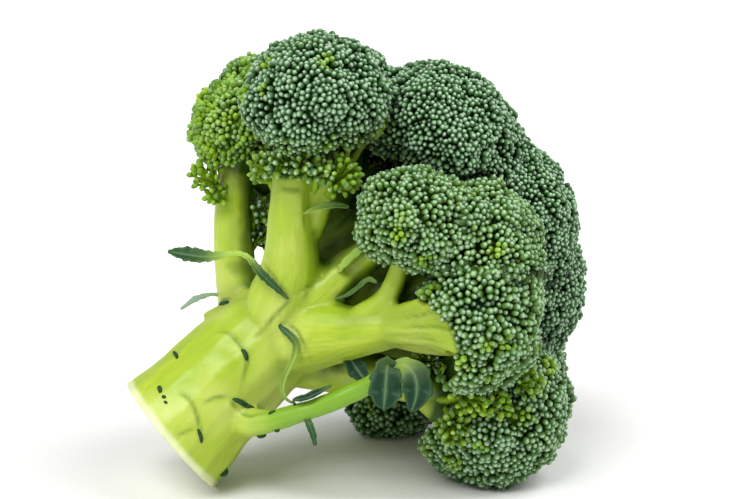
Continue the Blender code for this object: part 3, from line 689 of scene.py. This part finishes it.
def make_sprigs(finish):
    """The small sprigs that hang or stand clear of the big heads."""
    rng = np.random.default_rng(5)
    parts = []
    for root, middle, radius, count, yellow in SPRIGS:
        root, middle = np.array(root), np.array(middle)
        grows = unit((middle - root)[None])[0]
        turn = growing_frame(grows)
        local = even_directions(int(count * 1.5))
        local = unit(local[local[:, 2] > -0.35] + rng.normal(0, 0.07, (1, 3)))
        ways = local @ turn.T
        ways = unit(ways + rng.normal(0, 0.09, ways.shape))
        centres = middle + ways * (radius * rng.uniform(0.82, 1.08, len(ways)))[:, None]
        radii = rng.uniform(0.85, 1.2, len(ways))
        young = np.clip(yellow + 0.15 * rng.normal(0, 1, len(ways)), 0.0, 1.0)
        chance = rng.uniform(0, 1, len(ways))
        spread = rng.uniform(1.0, 1.35, len(ways))
        unshaded = np.full(len(ways), 0.8)
        parts.append(stamp_buds(centres, ways, radii, spread, young, chance, unshaded, rng))
        neck = middle - grows * radius * 0.75
        necks = np.tile(neck, (len(ways), 1))
        thick = np.full(len(ways), 0.42)
        parts.append(stamp_stalklets(necks, centres, -0.6 * grows, thick, young))
        bend = np.array([[0.0, 0.0, -1.5]])
        parts.append(stamp_stalklets(root[None], neck[None], bend, np.array([1.2]), np.array([0.8])))
    mesh = build_mesh("buds_sprigs", *join(parts))
    loose_piece("buds_sprigs", mesh, finish)


def fan_limbs():
    """Strands that rise out of the end of each big limb, part, and run out to its head's rim."""
    fans = []
    for number, floret in enumerate(FLORETS):
        head = Head(floret)
        limb = min(LIMBS, key=lambda limb: np.linalg.norm(np.array(limb[-1][:3]) - head.centre))
        root, thick = np.array(limb[-1][:3], float), float(limb[-1][3])
        along = unit(root - np.array(limb[-2][:3]))
        down = head.turn[:, 2]
        for step in range(FAN_STRANDS):
            turn = 2 * math.pi * (step + 0.37 * number) / FAN_STRANDS
            polar = math.radians(96 + 10 * ((step * 2) % 3))
            local = (math.sin(polar) * math.cos(turn), math.sin(polar) * math.sin(turn), math.cos(polar))
            way = head.turn @ np.array(local)
            if head.bare(way[None])[0] > 0.0:
                continue
            target = head.centre + way * (head.reach(way[None])[0] - 2.2)
            aside = target - root
            aside = unit(aside - along * (aside @ along))
            strand = max(0.36 * thick, 1.3)
            start = root - along * (2.2 * thick) + aside * (0.62 * thick)
            bend = root + aside * (0.80 * thick) + along * 1.0
            outer = 0.35 * bend + 0.65 * target - down * 1.2
            fans.append((
                (*start, strand * 0.9),
                (*(0.5 * start + 0.5 * bend), strand * 1.05),
                (*bend, strand),
                (*outer, max(0.5 * strand, 1.3)),
                (*target, 1.0),
            ))
        fans.append((
            (*(root - along * thick), thick),
            (*root, thick),
            (*(root * 0.4 + head.centre * 0.6), thick * 0.8),
        ))
    return fans


def limb_mesh(limbs):
    """Round tapered limbs along their points, as one mesh whose limbs run through each other."""
    curve = bpy.data.curves.new("limbs", "CURVE")
    curve.dimensions = "3D"
    curve.bevel_depth = 1.0
    curve.bevel_resolution = 5
    curve.use_fill_caps = True
    for limb in limbs:
        spline = curve.splines.new("NURBS")
        spline.points.add(len(limb) - 1)
        for point, (x, y, z, radius) in zip(spline.points, limb):
            point.co = (x * MM, y * MM, z * MM, 1.0)
            point.radius = radius * MM
        spline.order_u = 3
        spline.use_endpoint_u = True
        spline.resolution_u = 8
    obj = bpy.data.objects.new("limbs", curve)
    bpy.context.scene.collection.objects.link(obj)
    graph = bpy.context.evaluated_depsgraph_get()
    mesh = bpy.data.meshes.new_from_object(obj.evaluated_get(graph), depsgraph=graph)
    bpy.data.objects.remove(obj)
    return mesh


def skinned(mesh, voxel, smoothing):
    """One closed skin around everything in a mesh, smoothed a little."""
    obj = bpy.data.objects.new("skinned", mesh)
    bpy.context.scene.collection.objects.link(obj)
    skin = obj.modifiers.new("skin", "REMESH")
    skin.mode = "VOXEL"
    skin.voxel_size = voxel * MM
    smooth = obj.modifiers.new("smooth", "SMOOTH")
    smooth.factor = 0.5
    smooth.iterations = smoothing
    graph = bpy.context.evaluated_depsgraph_get()
    made = bpy.data.meshes.new_from_object(obj.evaluated_get(graph), depsgraph=graph)
    bpy.data.objects.remove(obj)
    return made


def limb_samples():
    """Places along every limb: point, direction, radius, distance along and limb number."""
    rows = []
    for number, limb in enumerate(LIMBS + STRANDS):
        rough = np.array(limb, float)
        length = np.sum(np.linalg.norm(np.diff(rough[:, :3], axis=0), axis=1))
        at = np.linspace(0, len(rough) - 1, max(int(length / 1.2), 8))
        line = softened(traced(rough, at), 3)
        way = unit(np.gradient(line[:, :3], axis=0))
        run = np.concatenate([[0.0], np.cumsum(np.linalg.norm(np.diff(line[:, :3], axis=0), axis=1))])
        rows.append(np.column_stack([line[:, :3], way, line[:, 3], run, np.full(len(line), number)]))
    return np.concatenate(rows)


def grain_of(points, samples):
    """For each point: where it is round and along its limb, how near the next limb is, and its limb."""
    grain = np.zeros((len(points), 3))
    seam = np.zeros(len(points))
    owner = np.zeros(len(points), dtype=int)
    starts = np.flatnonzero(np.diff(samples[:, 8], prepend=-1))
    for part in in_turn(np.arange(len(points))):
        near = np.linalg.norm(points[part][:, None] - samples[None, :, :3], axis=2) - samples[:, 6]
        each = np.sort(np.minimum.reduceat(near, starts, axis=1), axis=1)
        seam[part] = each[:, 1] - each[:, 0]
        chosen = samples[near.argmin(axis=1)]
        way, radius, number = chosen[:, 3:6], chosen[:, 6], chosen[:, 8]
        owner[part] = number
        offset = points[part] - chosen[:, :3]
        ahead = np.sum(offset * way, axis=1)
        one, two = across(way)
        outward = unit(offset - way * ahead[:, None] + 1e-9)
        grain[part, 0] = np.sum(outward * one, axis=1) * radius + number * 31.0
        grain[part, 1] = np.sum(outward * two, axis=1) * radius
        grain[part, 2] = chosen[:, 7] + ahead
    return grain, seam, owner


def smooth_over(values, faces, rounds):
    """Each point's value made more like its neighbours' on the mesh."""
    one, two = faces.ravel(), np.roll(faces, -1, axis=1).ravel()
    size = len(values)
    near = np.bincount(one, minlength=size) + np.bincount(two, minlength=size)
    for _ in range(rounds):
        total = np.bincount(one, values[two], size) + np.bincount(two, values[one], size)
        values = 0.4 * values + 0.6 * total / np.maximum(near, 1)
    return values


def fold_depth(points, normals):
    """How far each point lies in a fold of the skin, and how far on the raised side of one."""
    spots = []
    for fold in FOLDS + FAN_FOLDS:
        line = traced(fold, np.linspace(0, len(fold) - 1, 12 * len(fold)))
        if fold in FAN_FOLDS:
            line = np.array([points[np.argmin(np.sum((points - spot) ** 2, axis=1))] for spot in line])
        line = softened(line, 12)
        steps = np.arange(len(line))
        share = np.minimum(1.0, np.minimum(steps, steps[::-1]) / 14.0 + 0.1)
        spots.append(np.column_stack([line, share, unit(np.gradient(line, axis=0))]))
    spots = np.concatenate(spots)
    deep, lip = np.zeros(len(points)), np.zeros(len(points))
    low, high = spots[:, :3].min(axis=0) - 4.0, spots[:, :3].max(axis=0) + 4.0
    inside = np.flatnonzero(np.all((points > low) & (points < high), axis=1))
    for part in in_turn(inside):
        apart = np.linalg.norm(points[part][:, None, :] - spots[None, :, :3], axis=2)
        near = apart.min(axis=1)
        best = spots[apart.argmin(axis=1)]
        beside = np.sum(np.cross(best[:, 4:7], normals[part]) * (points[part] - best[:, :3]), axis=1)
        deep[part] = best[:, 3] * np.exp(-((near / FOLD_HALF_WIDTH) ** 2))
        lip[part] = best[:, 3] * smoothstep(-0.2, 1.0, beside) * np.exp(-((near / LIP_WIDTH) ** 2))
    return deep, lip


def in_open_side(points):
    """How far each point stands clear in the open side of a head, from 0 to 1."""
    level = np.zeros(len(points))
    for floret in FLORETS:
        if floret.name in BARE:
            head = Head(floret)
            offset = points - head.centre
            clear = smoothstep(5.0, 14.0, np.linalg.norm(offset, axis=1))
            level = np.maximum(level, clear * head.bare(unit(offset)))
    return level


def cut_limbs():
    """The skin around all limbs, cut off flat at the stem: its points, normals and triangles."""
    mesh = skinned(limb_mesh(LIMBS + STRANDS + tuple(fan_limbs())), SKIN_VOXEL, 4)
    work = bmesh.new()
    work.from_mesh(mesh)
    bmesh.ops.bisect_plane(
        work,
        geom=list(work.verts) + list(work.edges) + list(work.faces),
        plane_co=Vector(CUT_POINT) * MM,
        plane_no=Vector(CUT_NORMAL),
        clear_outer=True,
    )
    rim = [e for e in work.edges if e.is_boundary]
    bmesh.ops.triangle_fill(work, edges=rim, use_beauty=True, normal=Vector(CUT_NORMAL))
    bmesh.ops.triangulate(work, faces=work.faces)
    work.verts.index_update()
    points = np.array([v.co[:] for v in work.verts]) / MM
    normals = np.array([v.normal[:] for v in work.verts])
    faces = np.array([[v.index for v in f.verts] for f in work.faces])
    work.free()
    return points, normals, faces


def make_stalk(finish, tree):
    """The skin of the stalk, with its ridges, dents, folds, swellings and cut face."""
    points, normals, faces = cut_limbs()
    grain, seam, owner = grain_of(points, limb_samples())
    green = smooth_over((owner == LEAF_STALK) * smoothstep(8.0, 30.0, grain[:, 2]), faces, 12)
    off_cut = -(points - CUT_POINT) @ CUT_NORMAL
    skin = smoothstep(1.2, 3.2, off_cut)
    fork = smooth_over(1.0 - smoothstep(0.0, 1.5, seam), faces, 6)
    deep, lip = fold_depth(points, normals)
    ridge = np.array([noise.noise(Vector((g[0] * 0.22, g[1] * 0.22, g[2] * 0.025))) for g in grain])
    lump = np.array([noise.noise(Vector(p) * 0.055) for p in points])
    dent = np.array([noise.noise(Vector(p) * 0.16 + Vector((7, 3, 1))) for p in points])
    move = 0.35 * ridge + 0.5 * lump - 0.3 + 0.3 * dent - 0.3 * fork - 0.3 * deep + 0.4 * lip
    for middle, radius, height in SWELLINGS:
        apart = np.linalg.norm(points - np.array(middle), axis=1)
        move += height * (1.0 - smoothstep(0.2, 1.0, apart / radius))
    points = points + normals * (smoothstep(0.0, 2.0, off_cut) * move)[:, None]
    mesh = build_mesh("stalk_skin", points, faces, np.column_stack([grain, skin]), "grain")
    # Painted shade: how open each point of the skin is, raised in a head's open side; the finish darkens it
    # where low
    unshaded = openness(points, normals, tree, 12, 1.0, 60.0)
    unshaded = smooth_over(np.maximum(unshaded, 0.7 * in_open_side(points)), faces, 4)
    # Painted shade: the look's first channel darkens the folds and the forks between limbs
    set_layer(mesh, "look", np.column_stack([np.maximum(0.45 * fork, deep), unshaded, skin, lip]))
    set_layer(mesh, "green", green)
    return piece("stalk_skin", mesh, finish, "stalk")


# A leaf: the points of its midrib, the half width at each, the way its upper side looks
# at its base and at its tip, how much its edges rise, its teeth, how dark it is, and how pale
# and yellow it is at each of those points
Leaf = namedtuple("Leaf", "name spine half_widths up_base up_tip cup teeth dark pale")
LEAVES = (
    Leaf("leaf_curled",
         ((-22.4, -30.2, 67.2), (-25.4, -30.8, 70), (-28.2, -30, 72.4), (-31, -28.2, 74.6),
          (-33.4, -26, 77.4), (-35.6, -24, 79.7), (-38.4, -22.5, 80.6), (-42, -21, 80.1), (-46, -20, 79),
          (-50.5, -19.5, 78.6), (-55.5, -19, 79.2), (-60, -18.6, 80), (-62.4, -18.5, 80.4)),
         (0.5, 1.1, 1.6, 1.7, 1.4, 1.0, 0.9, 1.0, 1.5, 2.4, 2.9, 1.7, 0.4),
         (0.5, -0.6, 0.6), (0.1, -0.75, 0.65), 0.35, 24, 0.72,
         (0.20, 0.0, 0.0, 0.0, 0.25, 0.95, 1.0, 0.95, 0.55, 0.10, 0.0, 0.0, 0.0)),
    Leaf("leaf_low_left",
         ((10.2, -47.8, 50), (9.8, -49.8, 46.5), (9.5, -51.4, 42.5), (9.2, -52.2, 38.6), (8.9, -52.4, 36.2)),
         (3.4, 5.2, 5.5, 4.9, 0.9), (0.0, -0.9, 0.4), (0.0, -1.0, 0.0), 0.08, 4, 1.0,
         (0.10, 0.0, 0.0, 0.0, 0.0)),
    Leaf("leaf_low_right",
         ((15.6, -47.6, 50.2), (19, -50.2, 47.6), (19.8, -52.4, 43.6), (19.2, -53.4, 39.6),
          (17.6, -53.8, 35.6)),
         (2.4, 4.8, 5.4, 4.2, 0.6), (0.1, -0.8, 0.5), (0.1, -1.0, -0.1), 0.10, 4, 0.9,
         (0.55, 0.08, 0.0, 0.0, 0.0)),
    Leaf("leaf_pale",
         ((-44, 1, 60.8), (-50, -1, 61.8), (-55, -2, 60.4), (-60, -3, 57)),
         (0.5, 0.7, 1.4, 0.4), (-0.2, -0.6, 0.8), (-0.4, -0.6, 0.7), 0.2, 9, 0.0,
         (0.3, 0.1, 0.0, 0.0)),
    Leaf("leaf_clasping",
         ((-25.2, -29.6, 57.5), (-22.3, -31.2, 55.8), (-19.6, -33, 53.3), (-20, -33.3, 49.5),
          (-22.5, -33.6, 44), (-24.8, -34.5, 38.8), (-23.6, -36, 35.2), (-20.9, -37.5, 34)),
         (0.7, 1.3, 1.2, 0.8, 0.9, 0.8, 0.7, 0.3), (0.3, -0.9, 0.2), (0.2, -0.9, -0.1), 0.5, 8, 0.7,
         (0.0, 0.05, 0.20, 0.75, 0.80, 0.70, 0.50, 0.20)),
    Leaf("leaf_scar",
         ((-5, -25.3, 76.2), (-2, -26.8, 79.7), (1.9, -29.2, 83.5), (5.6, -31.4, 87.2)),
         (1.3, 1.5, 1.4, 0.5), (-0.5, -0.7, 0.5), (-0.5, -0.7, 0.5), 0.45, 7, 0.45,
         (0.95, 0.75, 0.55, 0.45)),
    Leaf("leaf_folded",
         ((-6.3, -26.6, 66.2), (-2, -27.5, 67.7), (1.9, -29.5, 71.2), (4.2, -31.5, 74), (6.8, -33, 73.1)),
         (0.4, 1.0, 1.2, 1.1, 0.4), (0.1, -0.5, 0.9), (-0.2, -0.6, 0.8), 0.6, 7, 0.7,
         (0.15, 0.10, 0.10, 0.30, 0.30)),
    Leaf("leaf_hanging",
         ((-16.0, -43, 30.4), (-14.9, -44.5, 28), (-13.9, -45.3, 25.5), (-13.3, -45.5, 22)),
         (1.2, 1.2, 1.1, 0.6), (0.2, -1.0, 0.1), (0.4, -0.9, 0.1), 0.35, 6, 0.75,
         (0.1, 0.0, 0.0, 0.0)),
    Leaf("leaf_bract",
         ((-16.5, -29.2, 95.4), (-12.3, -31, 97.4), (-7.1, -32, 98.4), (-2.2, -32, 97.9)),
         (0.5, 1.4, 1.5, 0.4), (0.1, -0.5, 0.9), (0.1, -0.6, 0.8), 0.5, 5, 0.45,
         (0.90, 0.60, 0.30, 0.2)),
)
# Two narrow blades too small for a solid of their own
SMALL_LEAVES = (
    Leaf("leaf_rolled",
         ((-20.7, -42, 36.4), (-18.1, -43, 36.4), (-15.2, -43.6, 37.2), (-12, -43.6, 39), (-8, -43, 41.2)),
         (0.5, 1.1, 1.5, 1.2, 0.4), (0.0, -0.6, 0.8), (-0.2, -0.6, 0.8), 0.7, 4, 0.9,
         (0.1, 0.0, 0.0, 0.0, 0.2)),
    Leaf("leaf_shaded",
         ((-3.3, -31, 50.1), (-1.4, -32, 46.3), (1.3, -34, 42.8), (4.2, -36, 39.9)),
         (1.0, 3.2, 3.4, 0.6), (0.0, -0.9, 0.4), (0.0, -0.9, 0.4), 0.3, 4, 1.0,
         (0.1, 0.0, 0.0, 0.0)),
)
LEAF_THICKNESS = 0.55
LEAF_ROWS = 17
TOOTH_STEPS = 6


def on_skin(place, skin):
    """The nearest point of the stalk's skin and the way the skin faces there, in the drawing."""
    spot, normal, _, _ = skin.find_nearest(Vector((np.array(place) + SHIFT) * MM))
    return np.array(spot) / MM - SHIFT, np.array(normal)


def make_leaf(leaf, skin):
    """A blade along its midrib with a toothed, slightly waved edge and a raised midrib below."""
    foot, facing = on_skin(leaf.spine[0], skin)
    base = [*(foot - 0.6 * facing), 0.8 * leaf.half_widths[0], leaf.pale[0]]
    knots = np.vstack([base, np.column_stack([leaf.spine, leaf.half_widths, leaf.pale])])
    stations = leaf.teeth * TOOTH_STEPS + 1
    table = traced(knots, np.linspace(0.0, len(knots) - 1.0, stations))
    paleness = table[:, 4]
    smooth = softened(table[:, :4], 10)
    line, half = smooth[:, :3], smooth[:, 3]
    along = unit(np.gradient(line, axis=0))
    share = np.linspace(0.0, 1.0, stations)
    up = np.array(leaf.up_base) * (1 - share)[:, None] + np.array(leaf.up_tip) * share[:, None]
    side = unit(np.cross(up, along))
    up = np.cross(along, side)
    teeth = (np.arange(stations) % TOOTH_STEPS) / TOOTH_STEPS
    top = np.zeros((stations, LEAF_ROWS, 3))
    low = np.zeros_like(top)
    look = np.zeros((stations, LEAF_ROWS, 4))
    for number, row in enumerate(np.linspace(-1.0, 1.0, LEAF_ROWS)):
        edge = smoothstep(0.6, 1.0, abs(row))
        reach = half * (1.0 + edge * (0.20 * teeth - 0.08))
        wave = 0.12 * half * edge * np.sin(share * leaf.teeth * 4.1 + 2.0 * np.sign(row))
        vein = np.abs(np.sin((share * leaf.teeth * 0.8 - 0.22 * abs(row)) * math.pi))
        vein = (1.0 - smoothstep(0.0, 0.22, vein)) * (1 - edge)
        midrib = math.exp(-(row / 0.10) ** 2)
        rise = leaf.cup * half * abs(row) ** 1.3 + wave - 0.10 * vein
        centre = line + side * (reach * row)[:, None] + up * rise[:, None]
        thin = LEAF_THICKNESS * (0.5 - 0.22 * edge)
        top[:, number] = centre + up * (thin + 0.12 * midrib)
        low[:, number] = centre - up * (thin + 0.45 * midrib * (1 - share))[:, None]
        look[:, number, 0] = np.clip(midrib + 0.35 * vein, 0, 1)
        look[:, number, 1] = edge
        look[:, number, 2] = paleness
        look[:, number, 3] = leaf.dark
    size = stations * LEAF_ROWS
    points = np.concatenate([top.reshape(-1, 3), low.reshape(-1, 3)])
    looks = np.tile(look.reshape(-1, 4), (2, 1))
    sheet = strip_faces(stations, LEAF_ROWS, closed=False)
    faces = [(a, c, b) for a, b, c in sheet]
    faces += [(a + size, b + size, c + size) for a, b, c in sheet]
    order = np.arange(size).reshape(stations, LEAF_ROWS)
    border = [*order[:, 0], *order[-1, 1:], *order[-2::-1, -1], *order[0, -2:0:-1]]
    for here, there in zip(border, border[1:] + border[:1]):
        faces += [(here, here + size, there + size), (here, there + size, there)]
    return build_mesh(leaf.name + "_blade", points, np.array(faces), looks)


def make_stubs(finish, skin):
    """The dark slivers of torn leaves, sunk into the skin of the stalk along their foot."""
    parts = []
    stations = 9
    along = np.linspace(-0.5, 0.5, stations)
    for place, way, length, height, width in STUBS:
        spot, facing = on_skin(place, skin)
        way = np.array(way)
        way = unit(way - facing * (way @ facing))
        ring = []
        for share in along:
            foot, out = on_skin(spot + way * (share * length), skin)
            side = unit(np.cross(out, way))
            full = math.sqrt(max(1.0 - (2 * share) ** 2, 0.0)) * 0.85 + 0.15
            bow = side * (0.05 * length * (1.0 - (2 * share) ** 2))
            for aside, up in STUB_SECTION:
                rise = up * height * full if up > 0 else up
                ring.append(foot + bow + side * (aside * width * (0.4 + 0.6 * full)) + out * rise)
        sides = len(STUB_SECTION)
        faces = strip_faces(stations, sides)
        last = (stations - 1) * sides
        for corner in range(1, sides - 1):
            faces += [(0, corner + 1, corner), (last, last + corner, last + corner + 1)]
        look = np.zeros((len(ring), 4))
        look[:, 3] = 0.8
        parts.append((np.array(ring), np.array(faces), look))
    loose_piece("stalk_stubs", build_mesh("stalk_stubs", *join(parts)), finish)


class Nodes:
    """A short way to write a node tree."""

    def __init__(self, name):
        self.material = bpy.data.materials.new(name)
        self.material.use_nodes = True
        self.tree = self.material.node_tree
        self.shader = self.tree.nodes["Principled BSDF"]

    def channels(self, name):
        """The red, green, blue and alpha that the mesh carries under a name."""
        source = self.add("ShaderNodeAttribute", attribute_name=name)
        parts = self.add("ShaderNodeSeparateColor", {0: source.outputs["Color"]}).outputs
        return parts[0], parts[1], parts[2], source.outputs["Alpha"]

    def place(self):
        return self.add("ShaderNodeTexCoord").outputs["Object"]

    def surface(self, colour, **constants):
        """The colour of the surface, and numbers that are the same all over it."""
        self.link(colour, self.shader.inputs["Base Color"])
        for key, value in constants.items():
            self.shader.inputs[key.replace("_", " ")].default_value = value

    def add(self, kind, inputs=None, **settings):
        node = self.tree.nodes.new(kind)
        for key, value in settings.items():
            setattr(node, key, value)
        for key, value in (inputs or {}).items():
            if isinstance(value, bpy.types.NodeSocket):
                self.tree.links.new(value, node.inputs[key])
            else:
                node.inputs[key].default_value = value
        return node

    def link(self, source, target):
        self.tree.links.new(source, target)

    def math(self, operation, a, b=0.5):
        node = self.add("ShaderNodeMath", {0: a, 1: b}, operation=operation)
        return node.outputs[0]

    def mix(self, factor, a, b, blend="MIX"):
        node = self.add("ShaderNodeMix", data_type="RGBA", blend_type=blend)
        for socket, value in ((node.inputs[0], factor), (node.inputs[6], a), (node.inputs[7], b)):
            if isinstance(value, bpy.types.NodeSocket):
                self.link(value, socket)
            elif socket.type == "RGBA":
                socket.default_value = (*value, 1.0)
            else:
                socket.default_value = value
        return node.outputs[2]

    def noise(self, vector, scale, detail=3.0, roughness=0.5):
        node = self.add("ShaderNodeTexNoise", {"Scale": scale, "Detail": detail, "Roughness": roughness})
        self.link(vector, node.inputs["Vector"])
        return node.outputs["Fac"]

    def ramp(self, factor, stops):
        node = self.add("ShaderNodeValToRGB", {0: factor})
        bar = node.color_ramp
        while len(bar.elements) < len(stops):
            bar.elements.new(0.5)
        for element, (place, colour) in zip(bar.elements, stops):
            element.position = place
            element.color = (*colour, 1.0)
        return node.outputs["Color"]

    def span(self, value, low, high, to_low=0.0, to_high=1.0):
        node = self.add("ShaderNodeMapRange", {0: value, 1: low, 2: high, 3: to_low, 4: to_high})
        return node.outputs[0]

    def bump(self, height, strength, distance):
        node = self.add("ShaderNodeBump", {"Strength": strength, "Distance": distance, "Height": height})
        self.link(node.outputs[0], self.shader.inputs["Normal"])


def bud_material():
    """Grey-green buds, yellow-green ones where they are young, with a pale tip that is partly waxy bloom and
    partly a painted highlight, and painted shade at each bud's base and where little is open around them.
    """
    n = Nodes("buds")
    young, cap, chance, unshaded = n.channels("look")
    place = n.place()
    drift = n.noise(place, 60.0, 2.0)
    base = n.mix(n.span(drift, 0.35, 0.65), (0.046, 0.145, 0.034), (0.066, 0.172, 0.062))
    base = n.mix(n.math("MULTIPLY", chance, 0.6), base, (0.140, 0.290, 0.110))
    # The pale tip is partly the buds' waxy bloom and partly a painted highlight
    bloom_and_highlight_tip = n.mix(n.span(cap, 0.80, 1.0), base, (0.50, 0.66, 0.49))
    # Painted shade: a mature bud goes near-black towards its base
    mature = n.mix(n.span(cap, 0.34, 0.84), (0.003, 0.026, 0.001), bloom_and_highlight_tip)
    shades = ((0.25, (0.045, 0.15, 0.025)), (0.45, (0.18, 0.39, 0.04)), (0.9, (0.42, 0.62, 0.09)))
    young_tip = n.ramp(chance, shades)
    fresh = n.mix(n.span(cap, 0.50, 0.95), (0.26, 0.44, 0.008), young_tip)
    # Painted shade: a young bud goes darker green towards its base
    fresh = n.mix(n.span(cap, 0.0, 0.45), (0.10, 0.22, 0.003), fresh)
    colour = n.mix(young, mature, fresh)
    # Painted shade: buds with little open around them are drawn to near-black green
    colour = n.mix(n.span(unshaded, 0.15, 0.75, 0.80, 0.0), colour, (0.004, 0.022, 0.002))
    n.surface(colour, Roughness=0.46, Specular_IOR_Level=0.25)
    n.bump(n.noise(place, 2500.0, 2.0), 0.25, 0.0002)
    return n.material


def bud_flesh_material():
    """The inside of a bud head between its buds, painted near-black as shade, yellow-green where they are
    young.
    """
    n = Nodes("bud_flesh")
    young = n.channels("look")[0]
    mottle = n.noise(n.place(), 700.0, 3.0)
    # Painted shade: the near-black between the buds
    dark = n.mix(mottle, (0.004, 0.020, 0.002), (0.012, 0.045, 0.006))
    fresh = n.mix(mottle, (0.12, 0.25, 0.006), (0.24, 0.42, 0.02))
    n.surface(n.mix(young, dark, fresh), Roughness=0.9, Specular_IOR_Level=0.1)
    n.bump(mottle, 0.5, 0.0006)
    return n.material


def stalk_material():
    """Pale green skin with streaks along each limb, with painted shade where little is open around it and in
    its folds and forks.
    """
    n = Nodes("stalk")
    grain = n.add("ShaderNodeAttribute", attribute_name="grain").outputs["Vector"]
    fold, unshaded, covered, lip = n.channels("look")
    stretch = n.add("ShaderNodeVectorMath", {0: grain, 1: (1.0, 1.0, 0.05)}, operation="MULTIPLY").outputs[0]
    streak = n.noise(stretch, 0.8, 4.0, 0.55)
    broad = n.noise(stretch, 0.16, 2.0)
    place = n.place()
    patch = n.noise(place, 45.0, 3.0)
    shades = ((0.25, (0.30, 0.43, 0.016)), (0.50, (0.40, 0.53, 0.028)), (0.80, (0.49, 0.60, 0.055)))
    skin = n.ramp(streak, shades)
    skin = n.mix(n.span(broad, 0.40, 0.65), skin, (0.34, 0.49, 0.018))
    skin = n.mix(n.span(patch, 0.46, 0.70, 0.0, 0.65), skin, (0.58, 0.66, 0.15))
    skin = n.mix(n.math("MULTIPLY", lip, 0.30), skin, (0.62, 0.70, 0.20))
    height = n.add("ShaderNodeSeparateXYZ", {0: place}).outputs[2]
    skin = n.mix(n.span(height, 0.055, 0.10, 0.0, 0.22), skin, (0.30, 0.47, 0.03))
    petiole = n.add("ShaderNodeAttribute", attribute_name="green").outputs["Fac"]
    skin = n.mix(n.math("MULTIPLY", petiole, 0.8), skin, (0.14, 0.34, 0.012))
    # Painted shade: dark green where little is open around the skin
    skin = n.mix(n.span(unshaded, 0.12, 0.62, 0.97, 0.0), skin, (0.030, 0.090, 0.001))
    # Painted shade: darker olive in the folds and where limbs fork
    skin = n.mix(n.math("MULTIPLY", fold, 0.8), skin, (0.14, 0.24, 0.012))
    flesh = n.mix(n.noise(place, 300.0, 3.0), (0.66, 0.72, 0.34), (0.78, 0.82, 0.50))
    n.surface(
        n.mix(covered, flesh, skin),
        Roughness=0.38,
        Specular_IOR_Level=0.4,
        Subsurface_Weight=0.10,
        Subsurface_Radius=(0.003, 0.004, 0.001),
        Subsurface_Scale=1.0,
    )
    n.bump(n.math("ADD", streak, n.noise(place, 900.0, 2.0)), 0.18, 0.0003)
    return n.material


def leaf_material():
    """Blue-green blades with a lighter midrib and edge, yellower where they are pale."""
    n = Nodes("leaf")
    vein, edge, pale, dark = n.channels("look")
    mottle = n.noise(n.place(), 500.0, 4.0)
    light = n.mix(mottle, (0.040, 0.120, 0.028), (0.085, 0.20, 0.05))
    light = n.mix(n.span(dark, 0.0, 0.4), (0.26, 0.37, 0.25), light)
    deep = n.mix(mottle, (0.003, 0.022, 0.009), (0.012, 0.058, 0.026))
    blade = n.mix(n.span(dark, 0.4, 0.9), light, deep)
    blade = n.mix(n.math("MULTIPLY", edge, 0.20), blade, (0.16, 0.30, 0.12))
    blade = n.mix(n.math("MULTIPLY", vein, 0.40), blade, (0.24, 0.42, 0.18))
    n.surface(
        n.mix(pale, blade, (0.38, 0.56, 0.09)),
        Roughness=0.50,
        Specular_IOR_Level=0.2,
        Subsurface_Weight=0.05,
        Subsurface_Scale=0.001,
    )
    n.bump(mottle, 0.3, 0.0002)
    return n.material


def floor_and_lights():
    """A plain pale floor, a white surrounding and two soft suns."""
    floor = bmesh.new()
    bmesh.ops.create_grid(floor, x_segments=1, y_segments=1, size=3.0)
    mesh = bpy.data.meshes.new("floor")
    floor.to_mesh(mesh)
    floor.free()
    obj = bpy.data.objects.new("floor", mesh)
    bpy.context.scene.collection.objects.link(obj)
    n = Nodes("floor")
    n.shader.inputs["Base Color"].default_value = (0.86, 0.855, 0.85, 1.0)
    n.shader.inputs["Roughness"].default_value = 0.6
    obj.data.materials.append(n.material)
    world = bpy.data.worlds.new("studio")
    bpy.context.scene.world = world
    world.use_nodes = True
    sky = world.node_tree.nodes["Background"].inputs
    sky["Color"].default_value = (1.0, 1.0, 1.0, 1.0)
    sky["Strength"].default_value = 0.46
    soft_sun("key", (-0.42, -0.62, 1.0), 36, 2.45)
    soft_sun("rim", (0.85, 0.05, 1.10), 44, 2.0)


def soft_sun(name, place, spread, strength):
    lamp = bpy.data.lights.new(name, "SUN")
    lamp.angle = math.radians(spread)
    lamp.energy = strength
    obj = bpy.data.objects.new(name, lamp)
    obj.rotation_euler = (-Vector(place)).to_track_quat("-Z", "Y").to_euler()
    bpy.context.scene.collection.objects.link(obj)


def make_camera():
    """A long lens from the front and a little above, as in the photograph."""
    lens = bpy.data.cameras.new("camera")
    lens.lens = 100.0
    lens.sensor_width = 36.0
    obj = bpy.data.objects.new("camera", lens)
    elevation = math.radians(CAMERA_ELEVATION)
    look = Vector((0.0, math.cos(elevation), -math.sin(elevation)))
    target = Vector(np.array([6.5, 0.0, 77.2]) + SHIFT) * MM
    obj.location = target - look * CAMERA_DISTANCE
    obj.rotation_euler = look.to_track_quat("-Z", "Y").to_euler()
    bpy.context.scene.collection.objects.link(obj)
    bpy.context.scene.camera = obj


CAMERA_ELEVATION = 12.0
CAMERA_DISTANCE = 0.710
FIRST_SEED = 11
BUD = bud_pattern(6)


def main():
    make_camera()
    floor_and_lights()
    bpy.context.scene.view_settings.view_transform = "Standard"
    buds = bud_material()
    flesh = bud_flesh_material()
    ball = unit_ball(4)
    tree = solid_tree()
    for number, floret in enumerate(FLORETS):
        make_head(floret, FIRST_SEED + number, (buds, flesh), ball, tree)
    make_sprigs(buds)
    stalk = make_stalk(stalk_material(), tree).data
    skin = BVHTree.FromPolygons(
        [vertex.co.copy() for vertex in stalk.vertices],
        [list(polygon.vertices) for polygon in stalk.polygons],
    )
    leaf_finish = leaf_material()
    for leaf in LEAVES:
        blade = make_leaf(leaf, skin)
        piece(blade.name, blade, leaf_finish, leaf.name)
    for leaf in SMALL_LEAVES:
        blade = make_leaf(leaf, skin)
        loose_piece(blade.name, blade, leaf_finish)
    make_stubs(leaf_finish, skin)


main()
